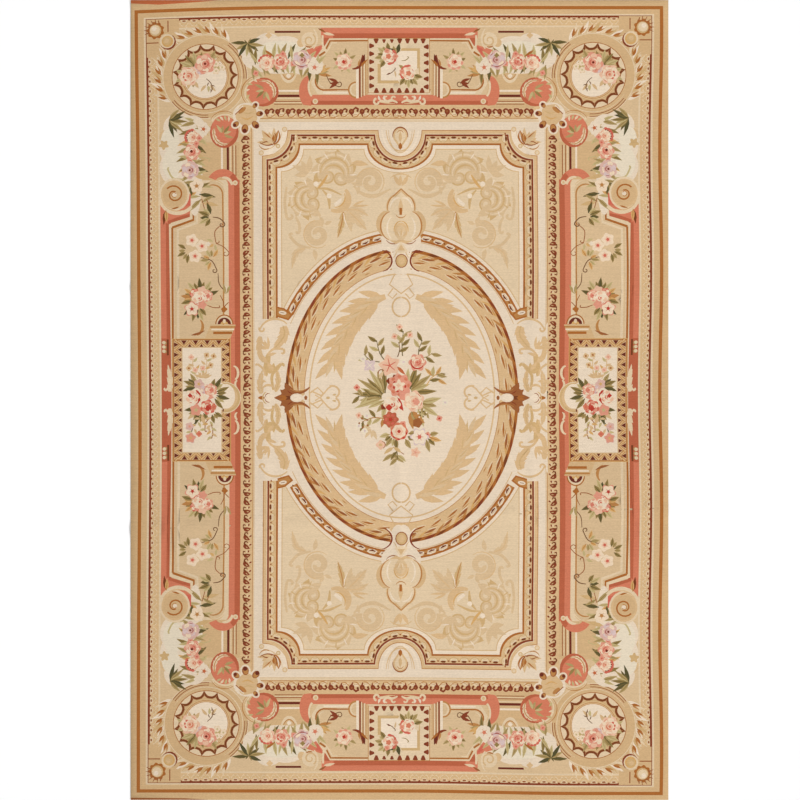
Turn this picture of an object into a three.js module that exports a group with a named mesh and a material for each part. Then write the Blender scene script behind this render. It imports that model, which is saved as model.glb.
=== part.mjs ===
// Needlepoint rug: one cloth sheet lying on a floor, +Y up the design, millimetres.
// The cloth keeps one thickness. It was folded in quarters and thirds, and the
// flattened folds stand a little off the floor as soft ridges.
import * as THREE from 'three';

// One stitch is 3.4 mm; the face is 537.6 stitches across and 800 long.
const STITCH = 3.4;
const WIDTH = 537.6 * STITCH;
const LENGTH = 800 * STITCH;
const THICKNESS = 4;

// Folds along the length: place across, ridge height and half width.
const LONG_FOLDS = [
  { at: -457, height: 2.6, reach: 26 },
  { at: 0, height: 3.0, reach: 28 },
  { at: 454, height: 2.6, reach: 26 },
];
// Folds across the rug: place along at the middle, and its drift per mm of width.
const CROSS_FOLDS = [
  { at: 377, drift: -0.004, height: 2.6, reach: 26 },
  { at: -404, drift: 0.041, height: 4.2, reach: 34 },
];
// The head hem curls up towards the left corner.
const CURL_HEIGHT = 3;
const CURL_REACH = 34;
const CURL_FROM = -470;

// Mesh lines: across each fold as parts of its reach, and one per span elsewhere.
const FOLD_LINES = [-1, -0.6, -0.28, 0, 0.28, 0.6, 1];
const SPAN = 230;

function ridge(distance, fold) {
  const t = Math.abs(distance) / fold.reach;
  if (t >= 1) return 0;
  return fold.height * (1 - t * t) ** 2;
}

function lift(x, y) {
  let z = 0;
  for (const fold of LONG_FOLDS) z = Math.max(z, ridge(x - fold.at, fold));
  for (const fold of CROSS_FOLDS) z = Math.max(z, ridge(y - fold.at - fold.drift * x, fold));
  const inward = (LENGTH / 2 - y) / CURL_REACH;
  const along = Math.min(1, Math.max(0, (CURL_FROM - x) / 200));
  if (inward < 1) z = Math.max(z, CURL_HEIGHT * along * (1 - inward) ** 2);
  return z;
}

// Mesh lines over half-open spans, closer at the folds.
function stations(half, folds, extra) {
  const fixed = [-half, half, ...extra];
  for (const fold of folds) {
    for (const part of FOLD_LINES) fixed.push(fold.at + part * fold.reach);
  }
  fixed.sort((a, b) => a - b);
  const lines = [fixed[0]];
  for (let i = 1; i < fixed.length; i += 1) {
    const from = fixed[i - 1];
    const steps = Math.max(1, Math.round((fixed[i] - from) / SPAN));
    for (let k = 1; k <= steps; k += 1) lines.push(from + ((fixed[i] - from) * k) / steps);
  }
  return lines;
}

// How far a mesh line at y leans with its fold; the two ends stay straight.
function leanAt(y) {
  const knots = [[-LENGTH / 2, 0], [CROSS_FOLDS[1].at - 40, CROSS_FOLDS[1].drift],
    [CROSS_FOLDS[1].at + 40, CROSS_FOLDS[1].drift], [CROSS_FOLDS[0].at - 40, CROSS_FOLDS[0].drift],
    [CROSS_FOLDS[0].at + 40, CROSS_FOLDS[0].drift], [LENGTH / 2, 0]];
  for (let i = 1; i < knots.length; i += 1) {
    const [y0, lean0] = knots[i - 1];
    const [y1, lean1] = knots[i];
    if (y <= y1) return lean0 + ((lean1 - lean0) * (y - y0)) / (y1 - y0);
  }
  return 0;
}

function sheet() {
  const xs = stations(WIDTH / 2, LONG_FOLDS, [CURL_FROM - 200]);
  const ys = stations(LENGTH / 2, CROSS_FOLDS, [LENGTH / 2 - CURL_REACH, LENGTH / 2 - CURL_REACH / 2]);
  const columns = xs.length - 1;
  const rows = ys.length - 1;
  const geometry = new THREE.BoxGeometry(1, 1, 1, columns, rows, 1);
  const position = geometry.attributes.position;
  for (let i = 0; i < position.count; i += 1) {
    const x = xs[Math.round((position.getX(i) + 0.5) * columns)];
    const row = ys[Math.round((position.getY(i) + 0.5) * rows)];
    const y = row + leanAt(row) * x;
    const level = position.getZ(i) > 0 ? THICKNESS : 0;
    position.setXYZ(i, x, y, level + lift(x, y));
  }
  geometry.computeVertexNormals();
  return geometry;
}

const wool = new THREE.MeshStandardMaterial({ color: 0xd2b78d, roughness: 0.95, metalness: 0 });
wool.name = 'needlepoint_wool';

const rug = new THREE.Mesh(sheet(), wool);
rug.name = 'rug';

const part = new THREE.Group();
part.name = 'needlepoint_rug';
part.add(rug);

export default part;
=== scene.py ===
# Needlepoint rug: the design is charted as flat shapes in stitches, cut into one
# closed sheet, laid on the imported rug's folds and finished as stitched wool.
import bpy
import math
import random
import numpy as np
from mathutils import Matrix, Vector
from mathutils.geometry import delaunay_2d_cdt


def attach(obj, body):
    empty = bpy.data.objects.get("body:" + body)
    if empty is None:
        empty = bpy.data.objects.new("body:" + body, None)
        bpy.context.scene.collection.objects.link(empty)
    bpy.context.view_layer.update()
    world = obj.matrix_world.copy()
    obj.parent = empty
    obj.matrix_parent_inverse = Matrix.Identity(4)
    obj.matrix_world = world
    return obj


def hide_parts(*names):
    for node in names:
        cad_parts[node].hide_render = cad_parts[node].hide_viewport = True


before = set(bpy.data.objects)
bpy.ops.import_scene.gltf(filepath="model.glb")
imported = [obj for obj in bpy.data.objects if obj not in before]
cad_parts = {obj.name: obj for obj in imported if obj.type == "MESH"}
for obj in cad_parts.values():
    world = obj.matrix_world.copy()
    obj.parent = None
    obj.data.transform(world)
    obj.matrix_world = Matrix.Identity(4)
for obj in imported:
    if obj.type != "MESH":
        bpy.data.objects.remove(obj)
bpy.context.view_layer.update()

# Chart: stitches from the middle of the rug, x to the right and y towards the head.
# Most motifs are drawn for the head's left quarter and mirrored to the others.
yarns = {
    "wheat": (205, 170, 125), "honey": (210, 175, 130), "sand": (210, 180, 140), "buff": (220, 195, 160),
    "straw": (205, 170, 125), "tan": (200, 165, 115), "cream": (220, 195, 160), "ivory": (225, 205, 180),
    "shell": (230, 210, 185), "gold": (205, 160, 100), "amber": (165, 100, 45), "ochre": (180, 125, 70),
    "bark": (150, 90, 50), "umber": (115, 60, 30), "chestnut": (130, 60, 35), "maroon": (105, 45, 30),
    "coral": (205, 120, 90), "brick": (180, 95, 65), "rust": (185, 100, 60),
    "blush": (225, 180, 150), "pink": (215, 145, 120), "rose": (200, 100, 80), "red": (180, 60, 45),
    "mauve": (210, 170, 155), "plum": (165, 100, 90), "petal": (230, 205, 175),
    "olive": (145, 120, 70), "leaf": (170, 145, 95), "sage": (190, 170, 120), "moss": (105, 90, 50),
    "pine": (80, 75, 45), "twig": (115, 80, 50), "lilac": (210, 185, 180), "cloud": (225, 210, 185),
}
marks = []
copies = [(1, 1)]
middle = (0, 0)
allQuarters = [(1, 1), (-1, 1), (1, -1), (-1, -1)]


def ink(yarn, outline):
    mx, my = middle
    for flipX, flipY in copies:
        marks.append((yarn, [(mx + (x - mx) * flipX, my + (y - my) * flipY) for x, y in outline]))


def drawn(motif, where, about=(0, 0)):
    # draws a motif in the mirrored copies that where lists, mirrored about a place
    global copies, middle
    copies, middle = where, about
    motif()
    copies, middle = [(1, 1)], (0, 0)


def placed(outline, at=(0, 0), turn=0, size=1):
    c = math.cos(math.radians(turn)) * size
    s = math.sin(math.radians(turn)) * size
    return [(at[0] + c * x - s * y, at[1] + s * x + c * y) for x, y in outline]


def oval(at, rx, ry=None, turn=0, sides=None):
    ry = rx if ry is None else ry
    sides = sides or max(6, min(96, round(3.2 * math.sqrt(rx + ry) + 2)))
    ring = [2 * math.pi * k / sides for k in range(sides)]
    return placed([(rx * math.cos(a), ry * math.sin(a)) for a in ring], at, turn)


def arc(at, rx, ry, fromAngle, toAngle, step=2.6):
    length = abs(math.radians(toAngle - fromAngle)) * max(rx, ry)
    count = max(3, round(length / step))
    angles = [math.radians(fromAngle + (toAngle - fromAngle) * k / count) for k in range(count + 1)]
    return [(at[0] + rx * math.cos(a), at[1] + ry * math.sin(a)) for a in angles]


def straight(points, step=22, closed=False):
    # splits long sides so that they can bend with the cloth
    line = []
    ends = list(points) + [points[0]] if closed else list(points)
    for (x0, y0), (x1, y1) in zip(ends, ends[1:]):
        count = max(1, round(math.hypot(x1 - x0, y1 - y0) / step))
        line += [(x0 + (x1 - x0) * k / count, y0 + (y1 - y0) * k / count) for k in range(count)]
    return line if closed else line + [ends[-1]]


def curve(points, step=2.4, closed=False):
    # a smooth line through the points
    knots = list(points)
    if closed:
        knots = [knots[-1]] + knots + knots[:2]
    else:
        knots = [knots[0]] + knots + [knots[-1]]
    line = []
    for p0, p1, p2, p3 in zip(knots, knots[1:], knots[2:], knots[3:]):
        count = max(1, round(math.dist(p1, p2) / step))
        for k in range(count):
            t = k / count
            w0 = -0.5 * t + t * t - 0.5 * t ** 3
            w1 = 1 - 2.5 * t * t + 1.5 * t ** 3
            w2 = 0.5 * t + 2 * t * t - 1.5 * t ** 3
            w3 = 0.5 * (t ** 3 - t * t)
            line.append(tuple(w0 * a + w1 * b + w2 * c + w3 * d for a, b, c, d in zip(p0, p1, p2, p3)))
    return line if closed else line + [knots[-2]]


def ribbon(line, width, head=1, tail=1, closed=False):
    # a strip of the given width on a line, narrowed to head and tail shares at its ends
    count = len(line)
    left, right = [], []
    for k, (x, y) in enumerate(line):
        ax, ay = line[(k - 1) % count] if closed else line[max(0, k - 1)]
        bx, by = line[(k + 1) % count] if closed else line[min(count - 1, k + 1)]
        length = math.hypot(bx - ax, by - ay) or 1
        t = k / max(1, count - 1)
        share = (head + (1 - head) * min(1, t * 2.5)) * (tail + (1 - tail) * min(1, (1 - t) * 2.5))
        reach = 0.5 * width * (1 if closed else share) / length
        left.append((x - (by - ay) * reach, y + (bx - ax) * reach))
        right.append((x + (by - ay) * reach, y - (bx - ax) * reach))
    if closed:
        left.append(left[0])
        right.append(right[0])
    return left + right[::-1]


def stroke(yarn, points, width, head=1, tail=1, step=2.4):
    ink(yarn, ribbon(curve(points, step), width, head, tail))


def line(yarn, points, width):
    ink(yarn, ribbon(straight(points), width))


def bow(yarn, at, rx, ry, fromAngle, toAngle, width, head=1, tail=1):
    ink(yarn, ribbon(arc(at, rx, ry, fromAngle, toAngle), width, head, tail))


# Bands: each slab covers the ones before it, by half width and half length.
bandPlan = [
    ("wheat", 268.8, 400), ("amber", 263.2, 393.8), ("wheat", 259.8, 390.5), ("cream", 254.1, 385.8),
    ("chestnut", 252.1, 384.3), ("honey", 250.0, 382.3), ("cream", 241.4, 374.3), ("sand", 239.6, 372.6),
]
ropePlan = [
    ("honey", 160.0, 294.9), ("ochre", 147.9, 281.8), ("cream", 147.2, 281.1),
    ("honey", 146.4, 278.9), ("ivory", 145.9, 278.3),
]


def slab(yarn, across, along):
    corners = [(-across, -along), (across, -along), (across, along), (-across, along)]
    ink(yarn, straight(corners, closed=True))


def alongLine(path, pitch, ends=0.5):
    # even places on a line, each with its direction
    lengths = [math.dist(a, b) for a, b in zip(path, path[1:])]
    total = sum(lengths)
    count = max(1, round(total / pitch))
    spots = []
    for k in range(count):
        want = total * (k + ends) / count
        for (ax, ay), (bx, by), length in zip(path, path[1:], lengths):
            if want <= length:
                t = want / length
                heading = math.degrees(math.atan2(by - ay, bx - ax))
                spots.append(((ax + (bx - ax) * t, ay + (by - ay) * t), heading))
                break
            want -= length
    return spots


def laceUnit(at, turn, dot):
    # a dark bump on the line, then a dot in a pale loop; the strip's inner side is down
    ink("chestnut", placed([(-7, 0.8), (-4.9, -1.5), (-2.8, 0.8)], at, turn))
    zigzag = [(-4.4, -3.2), (-1.8, -6.6), (0, -4.8), (1.8, -6.6), (4.4, -3.2)]
    ink("cream", placed(ribbon(zigzag, 0.9), at, turn))
    ink("buff", placed([(-3.2, -0.4), (-2.2, -2.6), (0, -3.4), (2.2, -2.6), (3.2, -0.4)], at, turn))
    ink("bark", placed(oval((0, -1.5), dot, 0.9, sides=6), at, turn))
    ink("tan", placed(ribbon([(-3.4, -4.4), (0, -5.4), (3.4, -4.4)], 0.6), at, turn))


def lace():
    # head strip to the right, side strip downwards
    for at, turn in alongLine([(-219, 382.4), (0, 382.4)], 9.8):
        laceUnit(at, turn, 2.1)
    for at, turn in alongLine([(-250.1, 0), (-250.1, 346)], 9.95):
        laceUnit(at, turn, 1.5)


def ropeUnit(at, turn, size):
    # side unit: a dark curled leaf with a hook, a drop and a pale curl under it
    ink("tan", placed(ribbon([(2, 4.4), (5, 3), (5, 0)], 0.9, 0.5, 0.5), at, turn, size))
    curl = curve([(-3.6, -0.6), (-3, 2.6), (-0.6, 3.8), (2, 3.2), (4.4, 1.4), (2.4, 0), (0.4, -1.2)], 2, True)
    ink("chestnut", placed(curl, at, turn, size))
    ink("tan", placed(oval((0.6, 1.5), 1.5, 0.5, 24, 6), at, turn, size))
    hook = curve([(-1, -0.6), (-3.4, -1.6), (-3.4, -3.6), (-1.4, -4.8), (0, -3.4)], 2)
    ink("umber", placed(ribbon(hook, 1.8, 1, 0.6), at, turn, size))
    ink("chestnut", placed(oval((3.4, -2.6), 1.5, 0.9, -50, 6), at, turn, size))
    ink("cream", placed(ribbon([(0.8, -1.8), (2, -3), (1.8, -4.6)], 1, 0.6, 0.6), at, turn, size))


def ropeHead(at, turn, size):
    # head unit: a dark ring with a tail, a comma and a pale leaf
    ink("cream", placed(oval((3.6, -2.8), 4.2, 1.7, -24, 8), at, turn, size))
    ink("ochre", placed(ribbon(curve([(-0.4, -5), (3.4, -5.2), (8, -2)], 2), 1, 0.4, 0.5), at, turn, size))
    ink("amber", placed(ribbon([(1, -2.6), (4.6, -3.6)], 0.8, 0.4, 0.4), at, turn, size))
    ink("chestnut", placed(oval((-0.4, 0.4), 2.7, 2.9, sides=8), at, turn, size))
    ink("bark", placed(oval((-0.2, 0.8), 1, sides=6), at, turn, size))
    ink("chestnut", placed(ribbon([(-1, -1), (-0.2, -4.6)], 2, 1, 0.4), at, turn, size))
    comma = curve([(1.6, 1.4), (4.2, 3.2), (6.4, 1.6), (5.6, -0.8)], 2)
    ink("chestnut", placed(ribbon(comma, 2.1, 0.6, 0.6), at, turn, size))
    ink("umber", placed(oval((5.4, 0), 1.2, 1.4, sides=6), at, turn, size))


def rope():
    hand = random.Random(11)
    for at, heading in alongLine([(-137, 287.9), (0, 287.9)], 10.2):
        ropeHead(at, hand.uniform(-13, 13), hand.uniform(0.92, 1.06))
    for at, heading in alongLine([(-153.6, 265), (-153.6, 0)], 8.8):
        ropeUnit((at[0], at[1] + 0.6), hand.uniform(-24, 24), hand.uniform(0.86, 0.96))


print("chart: bands")
for yarn, across, along in bandPlan + ropePlan:
    slab(yarn, across, along)
drawn(lace, allQuarters)
drawn(rope, allQuarters)
# painted shade: a rust strip along the head's left end stands in for the shade where the hem curls up
ink("rust", [(-268.8, 400), (-180, 400), (-205, 398.4), (-240, 397.2), (-268.8, 396.8)])
# painted shadow: a dark bark strip along the foot's left end stands in for the shadow at the rug's edge
ink("bark", [(-268.8, -400), (-190, -400), (-215, -398.8), (-268.8, -398)])


# Inner frame, in lines stepped in from its outer edge.
framePlan = [
    ("ochre", 0), ("honey", 0.8), ("cream", 3.6), ("chestnut", 4.4), ("honey", 6.2),
    ("amber", 13.3), ("shell", 15.2), ("straw", 18.8), ("buff", 19.7),
]
frameAcross = 137.4
frameAlong = 269.8
frameFoot = 81


def frameLine(inset):
    # half of the frame, from its left foot over the corner and the notch to its right foot
    across = frameAcross - inset
    along = frameAlong - inset
    reach = 25.5 - 0.17 * inset
    notch = (21.6 + 0.75 * inset, 26.3 - 0.008 * inset * inset)
    half = straight([(-across, frameFoot), (-across, along - reach)])
    half += arc((-across, along), reach, reach, -90, 0)
    half += straight([(-across + reach, along), (-notch[0], along)])
    half += arc((0.6, along), notch[0], notch[1], 180, 270)
    return half + [(-x + 1.2, y) for x, y in half[::-1]]


def beadUnit(at, turn):
    # a dark bead over a pale scallop, and a brown dot between two scallops
    ink("cream", placed(arc((0, -0.4), 4.4, 3.4, 180, 360, 3), at, turn))
    ink("tan", placed(ribbon(arc((0, -0.4), 4.4, 3.4, 180, 360, 3), 0.9), at, turn))
    ink("umber", placed(oval((0, 0.6), 2.8, 1.2, sides=6), at, turn))
    ink("bark", placed(oval((-5.2, 0), 1.1, 0.9, sides=5), at, turn))
    ink("honey", placed(ribbon([(-1.8, -2.2), (1.8, -2.2)], 0.8), at, turn))


def innerFrame():
    for yarn, inset in framePlan:
        ink(yarn, frameLine(inset))
    for at, turn in alongLine(frameLine(8.2), 10.5):
        beadUnit(at, turn)


print("chart: inner frame")
drawn(innerFrame, [(1, 1), (1, -1)])


# Oval, about its own middle.
heart = (2.3, 4)
torusOuter = (117.4, 147.2)
torusInner = (98.4, 127.4)


def onOval(a, b, angle):
    return (heart[0] + a * math.cos(math.radians(angle)), heart[1] + b * math.sin(math.radians(angle)))


def onTorus(share, angle):
    a = torusOuter[0] + (torusInner[0] - torusOuter[0]) * share
    b = torusOuter[1] + (torusInner[1] - torusOuter[1]) * share
    return onOval(a, b, angle)


def chain(fromAngle, toAngle):
    # pale links with a dark slit on an amber strip
    path = arc(heart, 131.6, 160, fromAngle, toAngle, 3)
    ink("amber", ribbon(path, 8.4))
    ink("ochre", ribbon(path, 4.4))
    link = [(-5.2, -1.4), (-3.4, 1.8), (2, 2.4), (5.2, 1.4), (3.4, -1.8), (-2, -2.4)]
    for at, turn in alongLine(path, 12.9):
        ink("ivory", placed(link, at, turn))
        ink("tan", placed(ribbon([(-3.6, -0.8), (3.6, -0.6)], 1.2, 0.4, 0.4), at, turn))
        ink("umber", placed(ribbon([(-3.2, 0.2), (0, 1.1), (3.4, 0.8)], 1.9, 0.3, 0.5), at, turn))
        ink("umber", placed(oval((-6.3, -0.4), 1, 0.8, sides=5), at, turn))


def torus():
    ink("honey", arc(heart, *torusOuter, 0, 360, 5))
    turns = [360 * k / 150 for k in range(151)]
    rim = random.Random(4)
    for k in range(75):
        streak = [onTorus(0.14, 4.8 * k), onTorus(0.3, 4.8 * k + 2.2), onTorus(0.44, 4.8 * k + 4.8)]
        ink("gold" if k % 3 else "ochre", ribbon(streak, 2.4, 1, 0.2))
    ink("amber", [onTorus(0.0, a) for a in turns] + [onTorus(0.17, a) for a in turns[::-1]])
    for k in range(50):
        start = 7.2 * k + rim.uniform(-1, 1)
        dark = [onTorus(0.04 + 0.02 * j, start + 1.4 * j) for j in range(5)]
        ink("chestnut" if k % 2 else "umber", ribbon(dark, rim.uniform(1.8, 3), 0.3, 0.2))
    for row, share in enumerate((0.36, 0.64)):
        for k in range(38):
            centre = 360 * (k + 0.5 * row) / 38 + rim.uniform(-0.6, 0.6)
            lean = 0.05 * rim.uniform(0.6, 1.6)
            flame = [onTorus(share - lean + 2 * lean * t, centre + (t - 0.5) * 6.4) for t in (0, 0.3, 0.6, 1)]
            glint = [onTorus(share + 0.11 - lean * t, centre + (t - 0.2) * 5) for t in (0, 0.5, 1)]
            vein = [onTorus(share - 0.13, centre + (t - 0.8) * 5) for t in (0, 0.5, 1)]
            ink("sand", ribbon(curve(glint, 4), 3, 0.2, 0.2))
            ink("cream", ribbon(curve(glint, 4), 1.1, 0.2, 0.2))
            ink("ochre", ribbon(curve(vein, 4), 1, 0.2, 0.2))
            ink("bark" if row == 0 else "amber", ribbon(curve(flame, 3), 2.4 - 0.5 * row, 0.15, 0.3))
    for k in range(60):
        start = 6 * k + rim.uniform(-1, 1)
        pale = [onTorus(0.88, start + 1.6 * j) for j in range(3)]
        ink("honey" if k % 3 else "ochre", ribbon(pale, 1.1, 0.2, 0.2))


def ovalField():
    ink("straw", arc(heart, 139.6, 168.2, 0, 360, 6))
    ink("ivory", arc(heart, 138.6, 167.2, 0, 360, 6))
    ink("straw", arc(heart, 126.8, 155.4, 0, 360, 6))
    ink("ivory", arc(heart, 126.0, 154.6, 0, 360, 6))
    torus()
    ink("ochre", arc(heart, 98.6, 127.6, 0, 360, 6))
    ink("ivory", arc(heart, 98.0, 127.0, 0, 360, 6))
    ink("honey", arc(heart, 93.8, 122.8, 0, 360, 6))
    ink("ivory", arc(heart, 92.3, 121.3, 0, 360, 6))


print("chart: oval")
ovalField()
for first in (98, 275):
    chain(first, first + 51)
for first in (31, 214):
    chain(first, first + 51)


# Motifs: each outline is worked out from a place, a size and a turn.
shadeOf = {"olive": "moss", "leaf": "olive", "sage": "leaf", "moss": "pine", "gold": "ochre"}
roseKinds = {
    "pink": ("pink", "blush", "petal", "rose"), "pale": ("blush", "petal", "petal", "coral"),
    "mauve": ("mauve", "petal", "lilac", "plum"), "red": ("rose", "pink", "petal", "red"),
    "cream": ("petal", "blush", "shell", "rose"),
}


def polar(at, r, angle):
    return (at[0] + r * math.cos(math.radians(angle)), at[1] + r * math.sin(math.radians(angle)))


def bloom(at, r, lobes=5, depth=0.14, turn=0):
    # a round outline with soft lobes
    count = lobes * (3 if r < 2 else 4 if r < 4 else 6)
    ring = [2 * math.pi * k / count for k in range(count)]
    reach = [1 + (0.6 if r < 2 else 1) * depth * math.cos(lobes * a) for a in ring]
    return placed([(k * math.cos(a), k * math.sin(a)) for k, a in zip(reach, ring)], at, turn, r)


def leaf(yarn, base, tip, width, bend=0, vein=None):
    # a pointed leaf; bend pushes its middle to the left of the way to the tip
    dx, dy = tip[0] - base[0], tip[1] - base[1]
    length = math.hypot(dx, dy) or 1
    nx, ny = -dy / length, dx / length
    left, right, spine = [], [], [base]
    for t in (0.28, 0.56, 0.82):
        swell = 0.5 * width * math.sin(math.pi * t ** 0.8)
        side = bend * 4 * t * (1 - t)
        x, y = base[0] + dx * t + nx * side, base[1] + dy * t + ny * side
        left.append((x + nx * swell, y + ny * swell))
        right.append((x - nx * swell, y - ny * swell))
        spine.append((x, y))
    ink(yarn, [base] + left + [tip] + right[::-1])
    vein = vein or (shadeOf.get(yarn) if width > 3.3 else None)
    if vein:
        ink(vein, ribbon(spine, 0.24 * width, 1, 0.3))


def fan(yarns, at, fromAngle, toAngle, count, length, width, inner=0, bend=0.4):
    # leaves spread from one place, in turn in each yarn, every second one shorter
    for k in range(count):
        angle = fromAngle + (toAngle - fromAngle) * k / max(1, count - 1)
        tip = polar(at, length * (0.8 if k % 2 else 1), angle)
        leaf(yarns[k % len(yarns)], polar(at, inner, angle), tip, width, bend if k % 2 else -bend)


def along(path, t):
    # a place on a line and the line's heading there
    k = min(int(t * (len(path) - 1)), len(path) - 2)
    part = t * (len(path) - 1) - k
    (ax, ay), (bx, by) = path[k], path[k + 1]
    return (ax + (bx - ax) * part, ay + (by - ay) * part), math.degrees(math.atan2(by - ay, bx - ax))


def foliage(path, yarns, count, length, width, lean=50):
    # leaves on both sides of a stem
    for k in range(count):
        at, heading = along(path, (k + 0.5) / count)
        side = 1 if k % 2 else -1
        leaf(yarns[k % len(yarns)], at, polar(at, length, heading + side * lean), width, 0.4 * side)


def acanthus(yarn, path, width, lobes, vein=None, base=0.5, notch=0.6):
    # a long leaf on a line, its teeth leaning to the tip
    sides = []
    for turn in (90, -90):
        edge = []
        for k in range(lobes):
            for part, share in ((0.1, notch), (0.6, 0.8), (1.25, 1)):
                t = min(0.97, (k + part) / lobes)
                at, heading = along(path, t)
                swell = 0.5 * width * (base + (1 - base) * math.sin(math.pi * t ** 0.9)) * (1 - t ** 4)
                edge.append(polar(at, swell * share, heading + turn))
        sides.append(edge)
    ink(yarn, sides[0] + [path[-1]] + sides[1][::-1])
    if vein:
        ink(vein, ribbon(path, 0.07 * width + 0.5, 1, 0.3))


def coil(yarn, at, r, fromAngle, toAngle, width, close=0.2, tail=0.5):
    # a line that winds in from radius r to a share of it
    count = max(6, round(abs(toAngle - fromAngle) / (20 if r > 6 else 32)))
    path = []
    for k in range(count + 1):
        angle = fromAngle + (toAngle - fromAngle) * k / count
        path.append(polar(at, r * (1 + (close - 1) * k / count), angle))
    ink(yarn, ribbon(path, width, 1, tail))


def tendril(yarn, base, tip, bend, curl, width, turn=300):
    # a bent stem that ends in a curl; bend is a share of its length, to the left
    dx, dy = tip[0] - base[0], tip[1] - base[1]
    knee = (base[0] + 0.5 * dx - dy * bend, base[1] + 0.5 * dy + dx * bend)
    stroke(yarn, [base, knee, tip], width, 0.7, 1)
    side = -1 if bend > 0 else 1
    heading = math.degrees(math.atan2(tip[1] - knee[1], tip[0] - knee[0])) + 25 * side
    start = heading - 90 * side
    coil(yarn, polar(tip, curl, start + 180), curl, start, start + side * turn, width, 0.3, 0.5)


def cScroll(at, r, fromAngle, toAngle, width, body="sand", flute="buff", edge="honey"):
    # a leaf curled over: ribs run along it, lobes lean over its outer edge, a curl in each end
    reach = toAngle - fromAngle
    count = max(4, round(abs(reach) * r / 57.3 / (0.4 * width)))
    lean = 26 if reach > 0 else -26
    for k in range(count):
        angle = fromAngle + reach * (k + 0.2) / count
        base, tip = polar(at, r, angle - 0.4 * lean), polar(at, r + 0.6 * width, angle + lean)
        leaf(edge if k % 2 else body, base, tip, 0.5 * width, 1)
    ink(body, ribbon(arc(at, r, r, fromAngle, toAngle, 3), 0.92 * width, 0.45, 0.45))
    for k, share in enumerate((-0.3, -0.1, 0.1, 0.3)):
        first, last = fromAngle + (0.06 + 0.04 * k) * reach, toAngle - (0.18 - 0.04 * k) * reach
        ends = (r + 0.5 * share * width, r + share * width)
        path = []
        for t in range(13):
            swell = (ends[1] - ends[0]) * math.sin(math.pi * t / 12)
            path.append(polar(at, ends[0] + swell, first + (last - first) * t / 12))
        ink(flute if k % 2 else edge, ribbon(path, 0.11 * width, 0.3, 0.3))
    for k in range(1, count):
        angle = fromAngle + reach * k / count
        rib = [polar(at, r + share * width, angle + 0.4 * lean * share) for share in (0.12, 0.3, 0.46)]
        ink("shell" if k % 2 else edge, ribbon(rib, 0.07 * width, 0.3, 0.7))
    for angle, side in ((fromAngle, -1), (toAngle, 1)):
        side = side if reach > 0 else -side
        eye = polar(at, r - 0.3 * width, angle)
        coil(body, eye, 0.36 * width, angle, angle + 330 * side, 0.24 * width, 0.3, 0.6)
        coil(edge, eye, 0.44 * width, angle, angle + 250 * side, 0.08 * width, 0.5, 0.3)


def volute(at, r, start, turns, body, line):
    ink(body, oval(at, r))
    coil(line, at, 0.84 * r, start, start - 360 * turns, 0.13 * r + 0.5, 0.2, 0.6)


def puffs(yarn, plan):
    # a soft patch of overlapping ovals: middle and both radii
    for x, y, rx, ry in plan:
        ink(yarn, oval((x, y), rx, ry))


def rose(at, r, turn=0, kind="pink"):
    # ruffled outer petals with creases, a paler cup and a dark heart
    outer, mid, light, core = roseKinds[kind]
    ink(outer, bloom(at, r, 6, 0.1, turn))
    for k in range(6):
        angle = turn + 60 * k + 20
        ink((light, mid)[k % 2], oval(polar(at, 0.66 * r, angle), 0.26 * r, 0.34 * r, angle, 8))
    for k in range(3):
        angle = turn + 70 * k - 130
        ink(core, ribbon(arc(at, 0.8 * r, 0.8 * r, angle, angle + 34, 2), 0.1 * r, 0.3, 0.3))
    ink(outer, bloom(at, 0.52 * r, 5, 0.12, turn + 30))
    ink(light, ribbon(arc(at, 0.4 * r, 0.36 * r, turn + 60, turn + 220, 2), 0.16 * r, 0.3, 0.3))
    ink(core, ribbon(arc(at, 0.34 * r, 0.3 * r, turn - 110, turn + 60, 2), 0.16 * r, 0.3, 0.3))
    ink(core, bloom(at, 0.15 * r, 4, 0.16, turn))


def blossom(at, r, turn=0, petals="petal", core="coral", edge=None, count=5):
    if edge:
        ink(edge, bloom(at, 1.14 * r, count, 0.2, turn))
    ink(petals, bloom(at, r, count, 0.13, turn))
    for k in range(count):
        ink(core, ribbon([at, polar(at, 0.55 * r, turn + 360 * k / count)], 0.1 * r + 0.3, 1, 0.3))
    ink(core, bloom(at, 0.26 * r, count, 0.3, turn + 36))


def lily(at, r, turn, petals="blush", rib="rose", count=5):
    # long petals around a middle, each with a dark rib
    for k in range(count):
        leaf(petals, at, polar(at, r, turn + 360 * k / count), 0.8 * r, 0.2)
    for k in range(count):
        ink(rib, ribbon([at, polar(at, 0.62 * r, turn + 360 * k / count)], 0.09 * r + 0.2, 1, 0.5))


def buds(yarn, core, places, r=2.8):
    for k, at in enumerate(places):
        ink(yarn, bloom(at, r, 4, 0.15, 25 * k))
        ink(core, oval(at, 0.45 * r, 0.34 * r, 30 * k, 7))


def petalArc(yarn, at, r, fromAngle, toAngle, count, size=1.7):
    # a row of petal tips around one side of a flower
    for k in range(count):
        angle = fromAngle + (toAngle - fromAngle) * k / max(1, count - 1)
        ink(yarn, oval(polar(at, r, angle), 0.7 * size, size, angle, 7))


def berries(yarn, at, r, count, size, turn=0):
    for k in range(count):
        ink(yarn, oval(polar(at, r, turn + 360 * k / count), size, sides=6))


def box(yarn, left, right, foot, head):
    ink(yarn, straight([(left, foot), (right, foot), (right, head), (left, head)], closed=True))


# Corner blocks, each with a roundel of roses in a ring of festoons.
roundelAt = (-193.5, 324.5)
festoons = 15


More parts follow.
